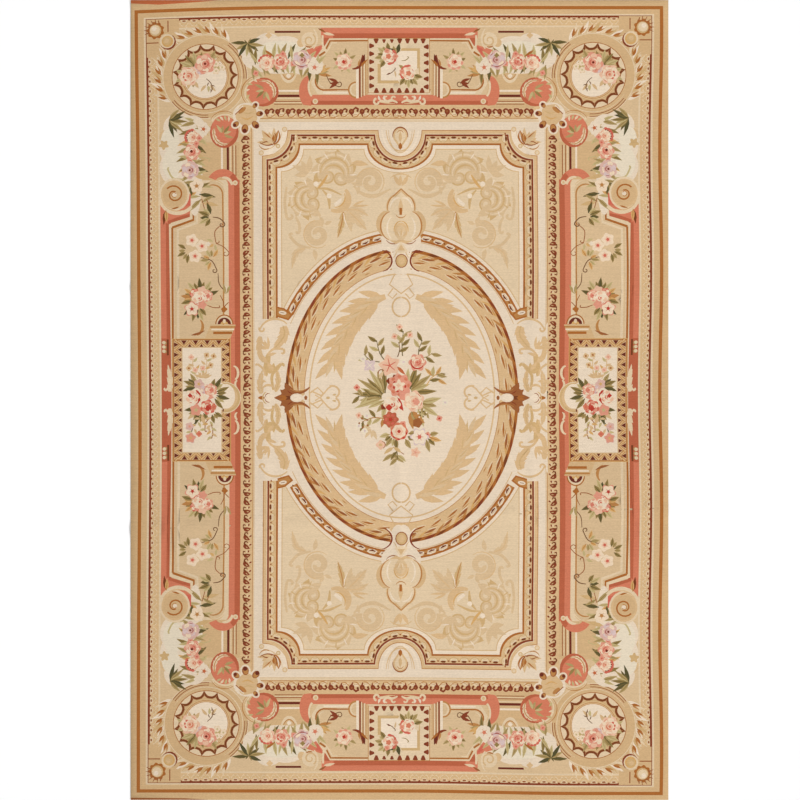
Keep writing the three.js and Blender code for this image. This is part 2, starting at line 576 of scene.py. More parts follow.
def cornerBlock():
    box("wheat", -251.4, -219, 345.5, 383.7)
    for k, angle in enumerate(range(58, 216, 5)):
        reach = 48.5 + 10 * max(0, 1 - abs(angle - 135) / 45)
        lean = 4 if angle < 135 else -4
        ray = ribbon([polar(roundelAt, 43, angle), polar(roundelAt, reach, angle + lean)], 1.5, 0.5, 0.3)
        ink(("cream", "straw", "shell", "tan")[k % 4], ray)
    for k in range(11):
        for side in (1, -1):
            angle = 135 - side * (16 + 6.4 * k)
            tip = polar(roundelAt, 55 if k % 2 else 51, angle + 11 * side)
            leaf(("cream", "shell", "tan")[k % 3], polar(roundelAt, 42.6, angle), tip, 3.6, 0.6 * side)
    for k in range(6):
        for side in (1, -1):
            angle = 135 - side * (19 + 11 * k)
            leaf("amber", polar(roundelAt, 43.6, angle), polar(roundelAt, 51, angle + 7 * side), 2.8, 0.3)
            base, tip = polar(roundelAt, 43.8, angle + 2 * side), polar(roundelAt, 49, angle + 10 * side)
            leaf("ochre", base, tip, 1.8)
    star = (-242.5, 372.5)
    ink("amber", bloom(star, 8.2, 9, 0.1, 20))
    for angle in range(85, 200, 22):
        ink("bark", ribbon([polar(star, 6, angle), polar(star, 11.5, angle + 6)], 1.5, 1, 0.3))
    for yarn, r, shift in (("tan", 6, 0), ("cream", 4.9, 0.6), ("shell", 2.4, 2.2)):
        ink(yarn, oval(polar(star, shift, 125), r))
    pearl = (-230, 360.5)
    for yarn, r, shift in (
        ("chestnut", 7.9, 0), ("cream", 7.4, 1.4), ("gold", 5.8, 0.8), ("tan", 4.2, 1.5), ("honey", 2.4, 2),
    ):
        ink(yarn, oval(polar(pearl, shift, 135), r))
    for yarn, width, start, end in (
        ("bark", 1.1, (-230, 382), (-230, 370.5)), ("bark", 1.1, (-239.5, 382.5), (-238.5, 378)),
        ("bark", 1.1, (-251.5, 360), (-239.5, 360)), ("bark", 0.9, (-251.5, 369.5), (-247.5, 369.5)),
        ("maroon", 1.5, (-224.5, 350), (-219.5, 356)),
    ):
        line(yarn, [start, end], width)


def ringLines():
    for yarn, r in (("buff", 42.4), ("wheat", 41.6)):
        ink(yarn, arc(roundelAt, r, r, 0, 360, 5))
    for r in (41, 38.6):
        for first, last in ((54, -4), (-86, -144)):
            ink("bark", ribbon(arc(roundelAt, r, r, first, last, 4), 0.8))
    ink("cream", ribbon(arc(roundelAt, 36.6, 36.6, 60, -150, 5), 0.9, 0.3, 0.3))


def roundel():
    ink("amber", arc(roundelAt, 33.3, 33.3, 0, 360, 5))
    ink("cream", arc(roundelAt, 32.6, 32.6, 0, 360, 5))
    garland = []
    for k in range(festoons):
        for t, sag in ((0, 0), (0.1, 0.6), (0.28, 0.93), (0.5, 1), (0.72, 0.93), (0.9, 0.6)):
            garland.append(polar(roundelAt, 31.6 - 5.2 * sag, 98 - (k + t) * 360 / festoons))
    ink("straw", garland)
    ink("bark", ribbon(garland, 2.6, closed=True))
    ink("umber", ribbon(garland, 1.5, closed=True))
    for yarn, r in (
        ("tan", 25.3), ("honey", 24.5), ("ochre", 23.5), ("honey", 22.9), ("ochre", 22), ("shell", 21.5),
    ):
        ink(yarn, arc(roundelAt, r, r, 0, 360, 4.5))


def roundelRoses():
    x, y = roundelAt
    fan(("olive", "leaf", "sage", "leaf"), (x - 9, y + 8), 70, 200, 10, 18, 5, 3)
    fan(("sage", "leaf", "straw"), (x + 2, y + 12), -15, 60, 5, 17, 3.8, 5)
    fan(("sage", "ochre"), (x - 18, y + 1), 150, 235, 4, 13, 4, 4)
    fan(("straw", "leaf"), (x - 13, y), 200, 300, 5, 13, 3.6, 5)
    fan(("straw", "sage"), (x + 3, y - 6), 230, 310, 3, 12, 3, 3)
    for k in range(3):
        blossom(polar((x + 13, y + 9), 4, 120 * k), 2.8, 10, "petal", "sage", "honey")
    rose((x - 6, y + 8), 6, 0, "mauve")
    rose((x, y + 13), 9.8, 15, "pink")
    ink("maroon", bloom((x, y + 13), 1.2, 4, 0.2))
    rose((x - 16.5, y + 1), 9.6, 60, "pale")
    petalArc("rose", (x - 16.5, y + 1), 5, 150, 230, 3, 1.4)
    tendril("twig", (x + 1, y - 2), (x + 7, y - 13), 0.15, 1.6, 0.9, 120)
    foliage([(x + 3, y - 4), (x + 8, y - 14)], ("twig",), 3, 4.6, 1.1)


print("chart: corner blocks")
for motif in (cornerBlock, ringLines):
    drawn(motif, allQuarters)


# Head and foot borders: a garland, a coral scroll and a panel on each side of a cartouche.
def headPanel():
    for yarn, left, head, foot in (
        ("coral", -78, 372, 361.5), ("brick", -66, 366.5, 361.5), ("coral", -99, 305, 294),
        ("brick", -96, 299, 294), ("honey", -131, 295, 293.5),
    ):
        box(yarn, left, 1, foot, head)
    # the panel has a cut corner to the garland and a round one below
    shoulder = [(-62, 359), (-69, 359), (-73, 351), (-74, 348), (-80, 344)]
    hollow = [(-73, 332)] + arc((-75, 318.5), 8.8, 8.8, 120, 262) + [(-62, 310)]
    rim = [(-62, 361.5), (-72, 361), (-79, 349), (-86, 339), (-88, 316), (-81.5, 305.5)]
    ink("cream", rim + [(1, 305.5), (1, 361.5)])
    ink("sand", shoulder + hollow + [(1, 310), (1, 359.5)])
    line("cream", [(-62, 357), (-67, 357), (-71, 350), (-79, 340)], 1.2)
    bow("cream", (-75, 318.5), 6, 6, 160, 262, 1)
    for yarn, points, width in (
        ("amber", shoulder[:3], 1.7), ("amber", shoulder[3:], 1.9), ("amber", hollow[1:], 1.6),
        ("amber", [shoulder[0], (1, 359.4)], 1.5), ("amber", [hollow[-1], (1, 310)], 1.3),
        ("shell", [(-76, 307), (1, 307)], 1.6),
    ):
        line(yarn, points, width)


def panelFlowers():
    at = (-55.5, 338)
    fan(("leaf", "sage", "olive"), at, 30, 160, 6, 14, 3.4, 5)
    fan(("sage", "leaf"), at, 215, 300, 3, 13, 3, 5)
    rose(at, 8, 10, "pale")
    petalArc("pink", at, 7, 190, 330, 4, 2)
    ink("red", bloom(at, 1.8, 4, 0.3, 10))
    fan(("ochre", "leaf", "gold"), (-82, 327), -12, 40, 4, 15, 4)
    ink("gold", bloom((-76, 331), 3, 5, 0.2))
    tendril("twig", (-73, 325), (-60, 313), -0.18, 3, 0.9)
    fan(("chestnut",), (-61, 317.5), 160, 215, 3, 11, 3.2)


def pilaster():
    # a half disc, a pale bar and fillets beside the cartouche, under a dark bracket
    ink("straw", [(-43.5, 332), (-31, 340), (-31, 305.5), (-43.5, 303)])
    disc = (-43.5, 310)
    ink("cream", arc(disc, 7.4, 7.6, 90, 270))
    bow("ochre", disc, 7.2, 7.6, 80, 280, 1.6)
    ink("sand", arc(disc, 4.6, 5.4, 90, 270))
    fillets = (
        ("shell", -42, 2.6), ("chestnut", -39.5, 1.6), ("cream", -38, 1),
        ("bark", -36.5, 1), ("cream", -35, 1.6), ("ochre", -33.7, 0.8),
    )
    for k, (yarn, x, width) in enumerate(fillets):
        line(yarn, [(x, 332 + k), (x, 301.5 + 0.7 * k)], width)
    stroke("chestnut", [(-47, 331), (-43, 331.5), (-38.5, 335), (-36.5, 345)], 3, 0.3, 0.4)
    leaf("maroon", (-36, 334), (-34.5, 346), 3.4, 0.6)
    leaf("amber", (-39, 333), (-31, 341), 2.4, 0.4)
    leaf("ochre", (-41, 333), (-39, 341), 2, 0.4)


def headGarland():
    puffs("ivory", (
        (-141, 343, 16, 13), (-131, 355, 14, 12), (-114, 348, 22, 16), (-97, 340, 17, 15), (-152, 350, 9, 6),
        (-120, 335, 28, 9), (-84, 334, 8, 9),
    ))
    puffs("cloud", ((-118, 350, 24, 9), (-134, 345, 14, 10)))
    ink("honey", bloom((-130, 364.5), 2.8, 4, 0.2))
    fan(("moss", "leaf", "pine", "sage", "olive"), (-151, 357), 178, 380, 8, 17, 4)
    fan(("olive", "moss"), (-151, 357), 60, 130, 2, 6, 1.6)
    line("maroon", [(-124, 368), (-98.5, 368)], 2)
    # pale coil under the cut corner, with bits of coral behind it
    ink("brick", [(-76, 362), (-69.5, 362), (-75, 353)])
    ink("coral", [(-93, 350), (-77, 355), (-77, 351), (-83.5, 342), (-90, 345.5)])
    ink("rose", [(-83.5, 350.5), (-77, 354), (-82.5, 343.5)])
    ink("honey", oval((-98, 357), 4, 4.4))
    volute((-89.5, 359.5), 8.2, 60, 1.3, "cream", "straw")
    bow("amber", (-89.5, 359.5), 6.8, 6.8, 235, 290, 1.5, 0.5, 0.4)
    bow("cream", (-92, 361), 10, 13, -50, 50, 2, 0.5, 0.5)
    leaf("bark", (-81, 371.5), (-73, 367), 2.2, 0.2)
    leaf("cream", (-76, 366.5), (-64.5, 364.5), 3, 0.3)
    line("cream", [(-76.5, 364.5), (-76.5, 355), (-73, 348.5)], 2)
    # lyre
    bow("cream", (-110.5, 333), 8.6, 14.5, 205, 335, 3.4, 0.4, 0.4)
    bow("ochre", (-110.5, 333), 6.8, 12.6, 215, 335, 1.1, 0.5, 0.4)
    ink("shell", bloom((-110.5, 324), 2.2, 4, 0.1))
    # flowers on a bent stem
    stem = curve([(-148, 334), (-125, 341), (-104, 340), (-80, 331)], 6)
    foliage(stem, ("sage", "olive", "leaf", "sage", "moss"), 17, 17, 4.2, 68)
    foliage(stem, ("leaf", "sage"), 12, 15, 3.4, 105)
    rose((-132.5, 337), 7.4, 30, "pale")
    petalArc("rose", (-132.5, 337), 7.6, 60, 160, 5, 1.8)
    leaf("amber", (-134, 349.5), (-124, 342.5), 2.6, 0.2)
    rose((-118, 338), 8, 0, "pink")
    petalArc("rose", (-118, 338), 4, 100, 200, 3, 1.6)
    buds("pink", "rose", ((-116, 346), (-143, 327), (-106, 336)), 2.8)
    rose((-97, 340), 9.2, 20, "mauve")
    bow("plum", (-97, 343), 9.6, 9.6, 200, 320, 1, 0.3, 0.3)
    ink("olive", bloom((-97, 344.5), 2.2, 4, 0.2))
    blossom((-84.5, 332.5), 6.8, 10, "ivory", "coral")


def pomegranate(at, rx, ry, lit, crescent):
    # a coral fruit, dark on the side away from lit, with a leaf curved over it
    ink("brick", oval(at, rx, ry))
    ink("coral", oval(polar(at, 2.6, lit), 0.88 * rx, 0.88 * ry))
    rim = arc(at, 0.74 * rx, 0.78 * ry, crescent - 75, crescent + 75, 3)
    acanthus("cream", rim, 5, 6, "ochre", 0.4, 0.45)
    root = polar(at, 0.2 * rx, crescent)
    fan(("leaf", "sage", "olive"), root, crescent + 110, crescent + 250, 5, 0.8 * rx, 3, 1.5)


def fruitCollar(at, rx, ry, fromAngle, toAngle):
    # pale leaves that hold a fruit on its outer side
    bow("cream", at, rx, ry, fromAngle, toAngle, 4.6, 0.4, 0.4)
    bow("straw", at, rx + 0.4, ry + 0.4, fromAngle + 10, toAngle - 10, 2.2, 0.3, 0.3)
    bow("ochre", at, rx + 2, ry + 2, fromAngle + 5, toAngle - 5, 1, 0.4, 0.4)
    for k in range(4):
        angle = fromAngle + (toAngle - fromAngle) * (k + 1) / 5
        leaf("sage" if k % 2 else "cream", polar(at, rx - 1, angle), polar(at, rx - 6, angle - 14), 2.4, 0.3)


def headScrolls():
    # fillets between two coral scrolls
    box("straw", -134.5, -91, 291.6, 326.7)
    for yarn, y, width in (
        ("shell", 309, 1.9), ("maroon", 304, 2.5), ("cream", 301.5, 1),
        ("bark", 298.5, 0.9), ("cream", 297.3, 0.7), ("bark", 295.7, 0.8),
    ):
        line(yarn, [(-125, y), (-97, y)], width)
    puffs("straw", ((-149, 307, 8, 11), (-137, 316, 12, 6)))
    pomegranate((-136, 308), 15.6, 14.6, 170, 42)
    fruitCollar((-139, 308), 16.4, 14.4, 90, 235)
    # scroll that runs on as the band under the panel
    outer = arc((-89, 308), 11.2, 16.5, 232, 96)
    ink("coral", [(-88, 294)] + outer + arc((-84.5, 313), 6.6, 11, 115, 225))
    bow("cream", (-84, 313), 6.2, 11.5, 115, 235, 2.8, 0.5, 0.7)
    bow("honey", (-83, 313), 6, 11, 120, 230, 1.1, 0.4, 0.6)
    for yarn, r in (("cream", 2.8), ("straw", 1.5)):
        ink(yarn, oval((-84, 298.5), r))


def bandScroll():
    # pale leaves on the coral band, either side of the middle
    stroke("cream", [(-2, 297), (-7, 299.5), (-13, 298), (-20, 299)], 3, 0.5, 0.9)
    coil("cream", (-22.5, 298), 3.6, 100, 380, 2.2, 0.4, 0.8)
    coil("cream", (-5.5, 301.5), 3, 250, 20, 1.9, 0.4, 0.8)
    coil("cream", (-13, 302), 2.8, 280, 60, 1.7, 0.4, 0.8)
    stroke("honey", [(-4, 296.6), (-11, 296.4), (-19, 297.4)], 1, 0.4, 0.4)
    for k in range(2):
        leaf("ivory", (-15 - 4 * k, 299.5), (-15 - 6 * k, 304.5), 2.4, 0.6)


def tooth(at, turn, size=1):
    wedge = [(-2.7, 2), (-1.5, 2.7), (1.5, 2.7), (2.7, 2), (0.9, -2.2), (-0.9, -2.2)]
    ink("chestnut", placed(wedge, at, turn, size))


def cartouche():
    # a toothed frame with a pale field
    box("ochre", -31.6, 30.4, 306.6, 361.8)
    box("cream", -30.9, 29.7, 307.2, 361.2)
    for k in range(6):
        tooth((-27.5, 354 - 8 * k), 90)
        tooth((26.5, 353 - 8 * k), -90)
    for k in range(7):
        tooth((-23.2 + 7.8 * k, 358.6), 0, 0.75 if k in (1, 2) else 1)
        tooth((-23 + 7.6 * k, 309.6), 180)
    box("tan", -21.8, 20.4, 316.5, 351.5)
    box("shell", -18.6, 17.6, 319.4, 348.9)


def cartoucheRoses():
    ink("cream", [(-22.5, 336), (-23, 354), (3, 354.5), (1, 348), (-16, 336)])
    ink("cream", [(-1.5, 319), (19, 332), (21, 316), (1, 315.5)])
    upper, lower = (-11, 343.5), (9, 326.5)
    fan(("olive", "leaf", "sage"), upper, 95, 235, 7, 14, 4.6, 5)
    fan(("pine", "leaf"), (-3, 346), 75, 150, 3, 11, 4.6)
    fan(("leaf", "sage"), lower, 140, 185, 2, 13, 3.6, 6)
    fan(("olive", "leaf", "sage"), lower, 235, 345, 7, 15, 4.4, 6)
    for at, turn in ((upper, -20), (lower, 150)):
        petalArc("rose", at, 7.2, turn - 60, turn + 60, 6, 2.4)
        rose(at, 6.6, 10, "cream")
        ink("coral", bloom(at, 2.6, 5, 0.15))
    buds("pink", "coral", ((-4, 343.5), (-12.5, 349), (2.5, 328)), 2.6)
    tendril("twig", (-13, 325), (-4, 331), -0.1, 1, 0.8, 90)
    leaf("umber", (-12.5, 325), (-8.5, 327), 1.6, 0.2)
    tendril("olive", (2, 339), (9, 342), -0.15, 1.4, 0.8, 120)
    leaf("honey", (-5, 329.5), (-3.5, 322), 1.8, 0.2)


print("chart: head and foot borders")
for motif in (headPanel, pilaster, panelFlowers, headScrolls, headGarland, bandScroll):
    drawn(motif, allQuarters)
for motif in (cartouche, cartoucheRoses):
    drawn(motif, [(1, 1), (1, -1)])
for motif in (roundel, roundelRoses):
    drawn(motif, allQuarters)


# Side borders: a garland, a long panel of blossoms, and a medallion in the middle.
def sideBands():
    for yarn, left, right, head in (
        ("coral", -171.3, -160, 228), ("brick", -165.5, -160, 222), ("honey", -160, -157.5, 254),
        ("coral", -239.5, -229, 196), ("brick", -239.5, -229, 62), ("brick", -234, -229, 180),
    ):
        box(yarn, left, right, -1, head)


def sidePanel():
    # the pale frame's shoulder meets the coil; its arch is at the head
    arch = arc((-187, 213), 15.5, 14, 160, 10)
    ink("cream", [(-229.5, -1), (-231, 177), (-210, 184), (-209, 200)] + arch + [(-171.3, 161), (-171.3, -1)])
    ink("coral", [(-239.5, 182), (-233, 188), (-218.5, 188.5), (-209.5, 193.5), (-210, 184), (-232, 177.5)])
    ink("brick", [(-232, 177.5), (-210, 184), (-210, 187), (-219, 185), (-232, 180.5)])
    inner = arc((-187.5, 207), 13, 14, 155, 20)
    outer = [(-226.5, -1), (-226, 173), (-205, 181), (-204.5, 194)]
    ink("sand", outer + inner + [(-176.6, 147), (-177.6, 62), (-177.6, -1)])
    line("cream", [(-222.5, -1), (-222.2, 171), (-203, 178), (-202.5, 190), (-200, 203)], 2.6)
    line("amber", [(-228, -1), (-227.6, 173.5)], 2.1)
    line("amber", [(-227.8, 173.5), (-206.4, 181), (-206.4, 194)], 2.4)
    line("amber", [(-206.9, 200.5), (-206.5, 197.5)], 2)
    line("ochre", [(-176.9, 63), (-176.3, 133), (-177, 206)], 1.5)
    bow("ochre", (-187, 206), 10, 9.8, 0, 130, 1.5, 1, 0.3)
    bow("cream", (-186, 206), 13, 15, 0, 140, 3, 1, 0.3)
    bow("honey", (-185, 206), 11.6, 14.4, 40, 125, 1.1, 0.4, 0.4)


def sideScrolls():
    box("straw", -202, -160, 220.5, 258.5)
    for yarn, x, width, head, foot in (
        ("shell", -177.5, 1.9, 254, 230), ("maroon", -171.6, 2.3, 255, 229), ("cream", -169, 1, 255, 227),
        ("bark", -166.7, 0.9, 255, 224), ("cream", -165.2, 0.7, 255, 224), ("bark", -163.6, 0.9, 255, 224),
    ):
        line(yarn, [(x, head), (x, foot)], width)
    pomegranate((-175, 268.5), 14.4, 16, 100, 232)
    fruitCollar((-175, 272), 14, 15.6, 50, 150)
    arch = arc((-177, 213), 17, 18.6, 146, 0)
    ink("coral", arch + arc((-178.5, 213), 7.6, 10.6, 0, 135))
    ink("brick", arc((-177, 213), 16.4, 18.6, 50, 0) + arc((-177, 213), 11.4, 13.6, 0, 50))
    bow("cream", (-176, 213), 8.8, 10, 100, 15, 3, 0.5, 0.8)
    for yarn, r in (("cream", 2.6), ("straw", 1.2)):
        ink(yarn, oval((-164.4, 217.5), r))


def shoulderCoil():
    at = (-225.5, 206.8)
    ink("coral", [(-240, 198), (-220, 187), (-209, 195.5), (-209, 207), (-240, 207.5)])
    ink("rose", [(-220, 195), (-209, 207.5), (-209.5, 195.5)])
    for yarn, rx, ry in (("cream", 15.4, 16.6), ("honey", 13.4, 14.4), ("straw", 11.6, 12.4)):
        ink(yarn, oval(at, rx, ry))
    coil("amber", at, 9.4, 140, -300, 1.6, 0.3, 0.8)
    ink("ivory", oval(at, 2.6))
    coil("ochre", at, 3, 300, 20, 0.9, 0.6, 0.8)
    bow("cream", (-222, 206), 18.5, 18, 195, 318, 4, 0.6, 0.8)
    bow("honey", (-222, 206), 16.6, 16, 205, 290, 1.3, 0.4, 0.4)
    leaf("amber", (-220.5, 194.5), (-229, 192), 1.8, 0.2)
    fan(("umber", "gold"), (-234, 191), 262, 272, 2, 15, 3.8)


def sideGarland():
    puffs("ivory", (
        (-220, 274, 16, 15), (-207, 272, 14, 14), (-222, 254, 18, 22), (-221, 234, 19, 20),
        (-207, 228, 10, 24), (-205, 205, 6, 20),
    ))
    puffs("cloud", ((-229, 262, 9, 12), (-227, 238, 10, 16)))
    ink("tan", bloom((-235.5, 257), 4.2, 5, 0.25, 50))
    coil("honey", (-231, 265), 8.5, 200, 120, 1.4, 0.9, 0.4)
    fan(("pine", "moss", "leaf", "sage", "olive"), (-230, 282), 285, 405, 8, 19, 4)
    stem = curve([(-202, 281), (-206, 262), (-208, 240), (-203, 216), (-197, 196)], 6)
    foliage(stem, ("leaf", "tan", "olive", "sage", "gold", "moss"), 20, 17, 4.4, 62)
    foliage(stem, ("sage", "leaf", "olive"), 14, 14, 3.4, 100)
    fan(("leaf", "moss", "olive"), (-208, 219), 190, 290, 6, 14, 3.8, 4)
    tendril("sage", (-216, 222), (-232, 233), 0.25, 2, 1.7, 60)
    tendril("sage", (-203, 240), (-190, 242), 0.2, 2, 0.9, 150)
    for base, tip in (((-198, 202), (-195, 191)), ((-193, 201), (-189.5, 191))):
        line("bark", [base, tip], 0.8)
    blossom((-195.7, 272), 6.2, 0, "ivory", "rust")
    ink("ivory", bloom((-202, 280), 3.6, 4, 0.2))
    rose((-206.5, 264), 6.8, 20, "pale")
    petalArc("rose", (-206.5, 264), 7.4, 95, 205, 6, 2)
    petalArc("maroon", (-206.5, 264), 6, 95, 205, 6, 0.8)
    buds("pink", "rose", ((-200, 263), (-203, 257.5), (-209.5, 240.5)), 2.8)
    rose((-207.5, 249), 8, 0, "pink")
    ink("maroon", bloom((-208, 250), 1.4, 4, 0.2))
    rose((-209.7, 231), 8.6, 30, "mauve")
    petalArc("mauve", (-209.7, 231), 7.6, 0, 60, 3, 2.6)
    ink("maroon", oval((-210, 231), 0.9))
    blossom((-203, 215), 6.6, 20, "petal", "ochre")


def sideBlossoms():
    fan(("moss", "sage", "olive"), (-188, 184), 110, 235, 6, 15, 4.4, 3)
    tendril("twig", (-187, 183.5), (-175, 177), 0.15, 3.2, 1.1)
    tendril("bark", (-176, 177), (-184, 158), -0.25, 2.4, 0.9, 200)
    tendril("bark", (-184, 157), (-171, 148), 0.1, 3.4, 0.8)
    tendril("twig", (-199, 143), (-183, 130), 0.2, 2.6, 1)
    tendril("twig", (-182, 127), (-174, 108), -0.15, 2, 0.9, 160)
    fan(("olive", "leaf"), (-211, 150), 150, 290, 6, 13, 3.8, 4)
    fan(("gold", "leaf", "sage"), (-188, 141), 60, 250, 7, 12, 3.8, 3)
    fan(("sage", "gold"), (-185, 158), 160, 280, 3, 9, 2.6, 2)
    for at, turn in (((-208, 160.5), 0), ((-198, 154.5), 30), ((-205, 144.5), 10)):
        blossom(at, 6, turn, "petal", "blush")
        ink("blush", bloom(at, 2.8, 5, 0.2, turn))
        ink("rose", bloom(at, 1.5, 5, 0.2, turn))
    ink("ivory", bloom((-191.5, 156.5), 2, 4, 0.2))


def sideRoses():
    fan(("moss", "olive", "sage", "olive"), (-200, 103), 20, 130, 7, 20, 4.6, 6)
    fan(("gold", "olive", "ochre"), (-203, 101), 140, 195, 5, 17, 4.6, 6)
    fan(("pine", "sage", "olive"), (-203, 95), 215, 310, 6, 17, 4.6, 4)
    rose((-205, 106.5), 5.4, 0, "red")
    ink("blush", bloom((-198, 109.5), 4.6, 5, 0.15))
    rose((-193, 104.5), 5.6, 20, "pink")
    rose((-201, 102), 7, 0, "cream")
    petalArc("rose", (-201, 102), 7.6, 220, 310, 5, 2)
    ink("pink", bloom((-198, 95.5), 4, 5, 0.18))
    blossom((-208.5, 91.5), 6, 20, "petal", "red", "pink")
    tendril("bark", (-193, 95), (-181, 92.5), -0.08, 1.6, 0.9, 140)
    tendril("bark", (-180, 105), (-177, 90), 0.12, 1.4, 0.9, 90)
    tendril("bark", (-171.5, 98), (-178, 89), -0.08, 1.2, 0.9, 90)
    fan(("leaf", "ivory"), (-175, 106), 60, 100, 3, 11, 3)
    ink("amber", bloom((-176, 91), 2.8, 4, 0.2))
    # bracket, half wheel and shelf under the flowers
    bow("ochre", (-206, 74), 8.4, 9, 45, -75, 3, 0.4, 0.6)
    leaf("bark", (-210, 65), (-195, 70), 2.4, -0.8)
    ink("straw", [(-195.5, 62), (-190, 75.5), (-164.5, 75.5), (-170, 62)])
    wheel = (-176, 76)
    for yarn, rx, ry in (("amber", 9.2, 9.8), ("cream", 8, 8.6), ("maroon", 6.8, 6.6), ("gold", 4, 3.2)):
        ink(yarn, arc(wheel, rx, ry, 0, 180))
    ink("cream", oval((-176, 79), 1.6, 2.2))
    for yarn, y, width, reach in (
        ("ochre", 73.2, 1.7, 12.5), ("shell", 70.7, 1.4, 11.5), ("amber", 67.3, 2.6, 9.5),
    ):
        line(yarn, [(-177.7 - reach, y), (-177.7 + reach, y)], width)


def toothRow(first, last, count, turn, tall):
    # a zigzag ribbon between rows of dark triangles
    step = ((last[0] - first[0]) / count, (last[1] - first[1]) / count)
    length = math.hypot(*step)
    for k in range(count):
        at = (first[0] + step[0] * (k + 0.5), first[1] + step[1] * (k + 0.5))
        half = 0.5 * length
        for yarn, width in (("amber", 3), ("gold", 1.9), ("honey", 0.8)):
            zigzag = [(-half, 0.9 - tall / 2), (0, tall / 2 - 0.9), (half, 0.9 - tall / 2)]
            ink(yarn, placed(ribbon(zigzag, width), at, turn))
        lower = [(-0.24 * length, -tall / 2), (0, 0.12 * tall), (0.24 * length, -tall / 2)]
        ink("maroon", placed(lower, at, turn))
        if k:
            edge = (first[0] + step[0] * k, first[1] + step[1] * k)
            upper = [(-0.2 * length, tall / 2), (0, -0.02 * tall), (0.2 * length, tall / 2)]
            ink("maroon", placed(upper, edge, turn))


def medallion():
    left, right, top = -228.6, -169.8, 61.7
    for yarn, inset in (("gold", 0), ("amber", 0.7), ("honey", 1.6)):
        box(yarn, left + inset, right - inset, inset - top, top - inset)
    toothRow((left + 5.6, -top + 1), (left + 5.6, top - 1), 12, -90, 7.4)
    toothRow((right - 5, top - 1), (right - 5, -top + 1), 12, 90, 7)
    toothRow((right - 6, top - 5.4), (left + 6, top - 5.4), 4, 180, 7)
    toothRow((left + 6, -top + 5.4), (right - 6, -top + 5.4), 4, 0, 7)
    box("straw", -219.4, -178.5, -53.4, 53.4)
    box("shell", -218.3, -179.5, -52.4, 52.4)
    bulge = (-175.6, 2.4)
    for yarn, r in (("cream", 16), ("tan", 15.2), ("honey", 12.8)):
        ink(yarn, arc(bulge, r, r - 0.3, -95, 95))
    ink("shell", arc((-174.6, 3.7), 9, 12.4, -100, 100) + [(-181, 17.5), (-181, -10.5)])


def medallionEnds():
    # pale scrolls on the coral at either side, and beads above
    box("umber", -234, -232, 45, 61)
    for k in range(3):
        ink("leaf", oval((-236, 57.4 - 4.3 * k), 1.9))
        ink("cream", oval((-237, 57.8 - 4.3 * k), 1.8))
    acanthus("cream", curve([(-231.5, 8), (-231, 20), (-233, 36)], 3), 7, 4, None, 0.6)
    tendril("cream", (-230.5, 20), (-234.5, 10), 0.1, 2, 2.4, 150)
    bow("cream", (-167, 27), 4.6, 7, 90, -70, 2.6, 0.5, 0.7)
    bow("cream", (-162.5, 16), 3, 4, 110, 250, 2.2, 0.7, 0.4)


def medallionFlowers():
    fan(("leaf", "moss", "olive"), (-203, 13), 120, 195, 5, 16, 4.6, 3)
    fan(("olive", "sage", "moss", "olive"), (-190, 6), -50, 75, 8, 20, 4.6, 6)
    fan(("moss", "leaf", "straw", "olive"), (-200, -9), 185, 300, 8, 17, 4.4, 5)
    fan(("olive", "leaf"), (-190, -10), 285, 330, 3, 14, 4.4, 5)
    fan(("straw", "honey"), (-198, 22), 20, 160, 5, 10, 2.6)
    for base, tip, bend, yarn in (
        ((-200, -17), (-210, -34), -0.12, "pine"), ((-189, -17), (-196, -31), -0.2, "bark"),
        ((-190, -24), (-189, -38), 0.1, "bark"), ((-203, 21), (-208, 40), 0.1, "honey"),
        ((-197, 22), (-194, 41), -0.08, "honey"),
    ):
        tendril(yarn, base, tip, bend, 1.6, 0.9, 130)
        foliage([base, tip], ("straw", "sage", "gold"), 5, 6.5, 2.6, 55)
    buds("blush", "pink", ((-209.5, 43), (-205.5, 30), (-198, 32)), 2.8)
    buds("honey", "amber", ((-212, 32), (-190, 35), (-194, 45), (-187, 44)), 2.8)
    blossom((-202, 16), 4.8, 0, "mauve", "gold")
    rose((-195.7, 11), 5, 0, "mauve")
    rose((-190, 10), 6.2, 30, "pink")
    petalArc("red", (-208, 3), 6.6, -50, 50, 5, 2.4)
    rose((-209, 3), 7.2, 10, "cream")
    ink("red", bloom((-211, 4.5), 2, 4, 0.2))
    ink("petal", bloom((-198, 2.5), 3, 4, 0.2))
    leaf("pink", (-193, 1.5), (-186.5, 3), 3, 0.3)
    blossom((-205, -10), 5.6, 10, "pink", "sage")
    rose((-193, -7), 7.2, 20, "red")
    ink("red", bloom((-193, -8.5), 2.6, 4, 0.25))
    blossom((-211.5, -26.5), 4, 0, "mauve", "pink")
    blossom((-210.5, -38), 4.4, 10, "pink", "gold", "mauve")
    buds("coral", "rose", ((-202, -34), (-187, -7)), 2.8)


print("chart: side borders")
for motif in (sideBands, sidePanel, sideScrolls, sideGarland, shoulderCoil, sideBlossoms, sideRoses):
    drawn(motif, allQuarters)
for motif in (medallion, medallionFlowers):
    drawn(motif, [(1, 1), (-1, 1)])
drawn(medallionEnds, allQuarters)


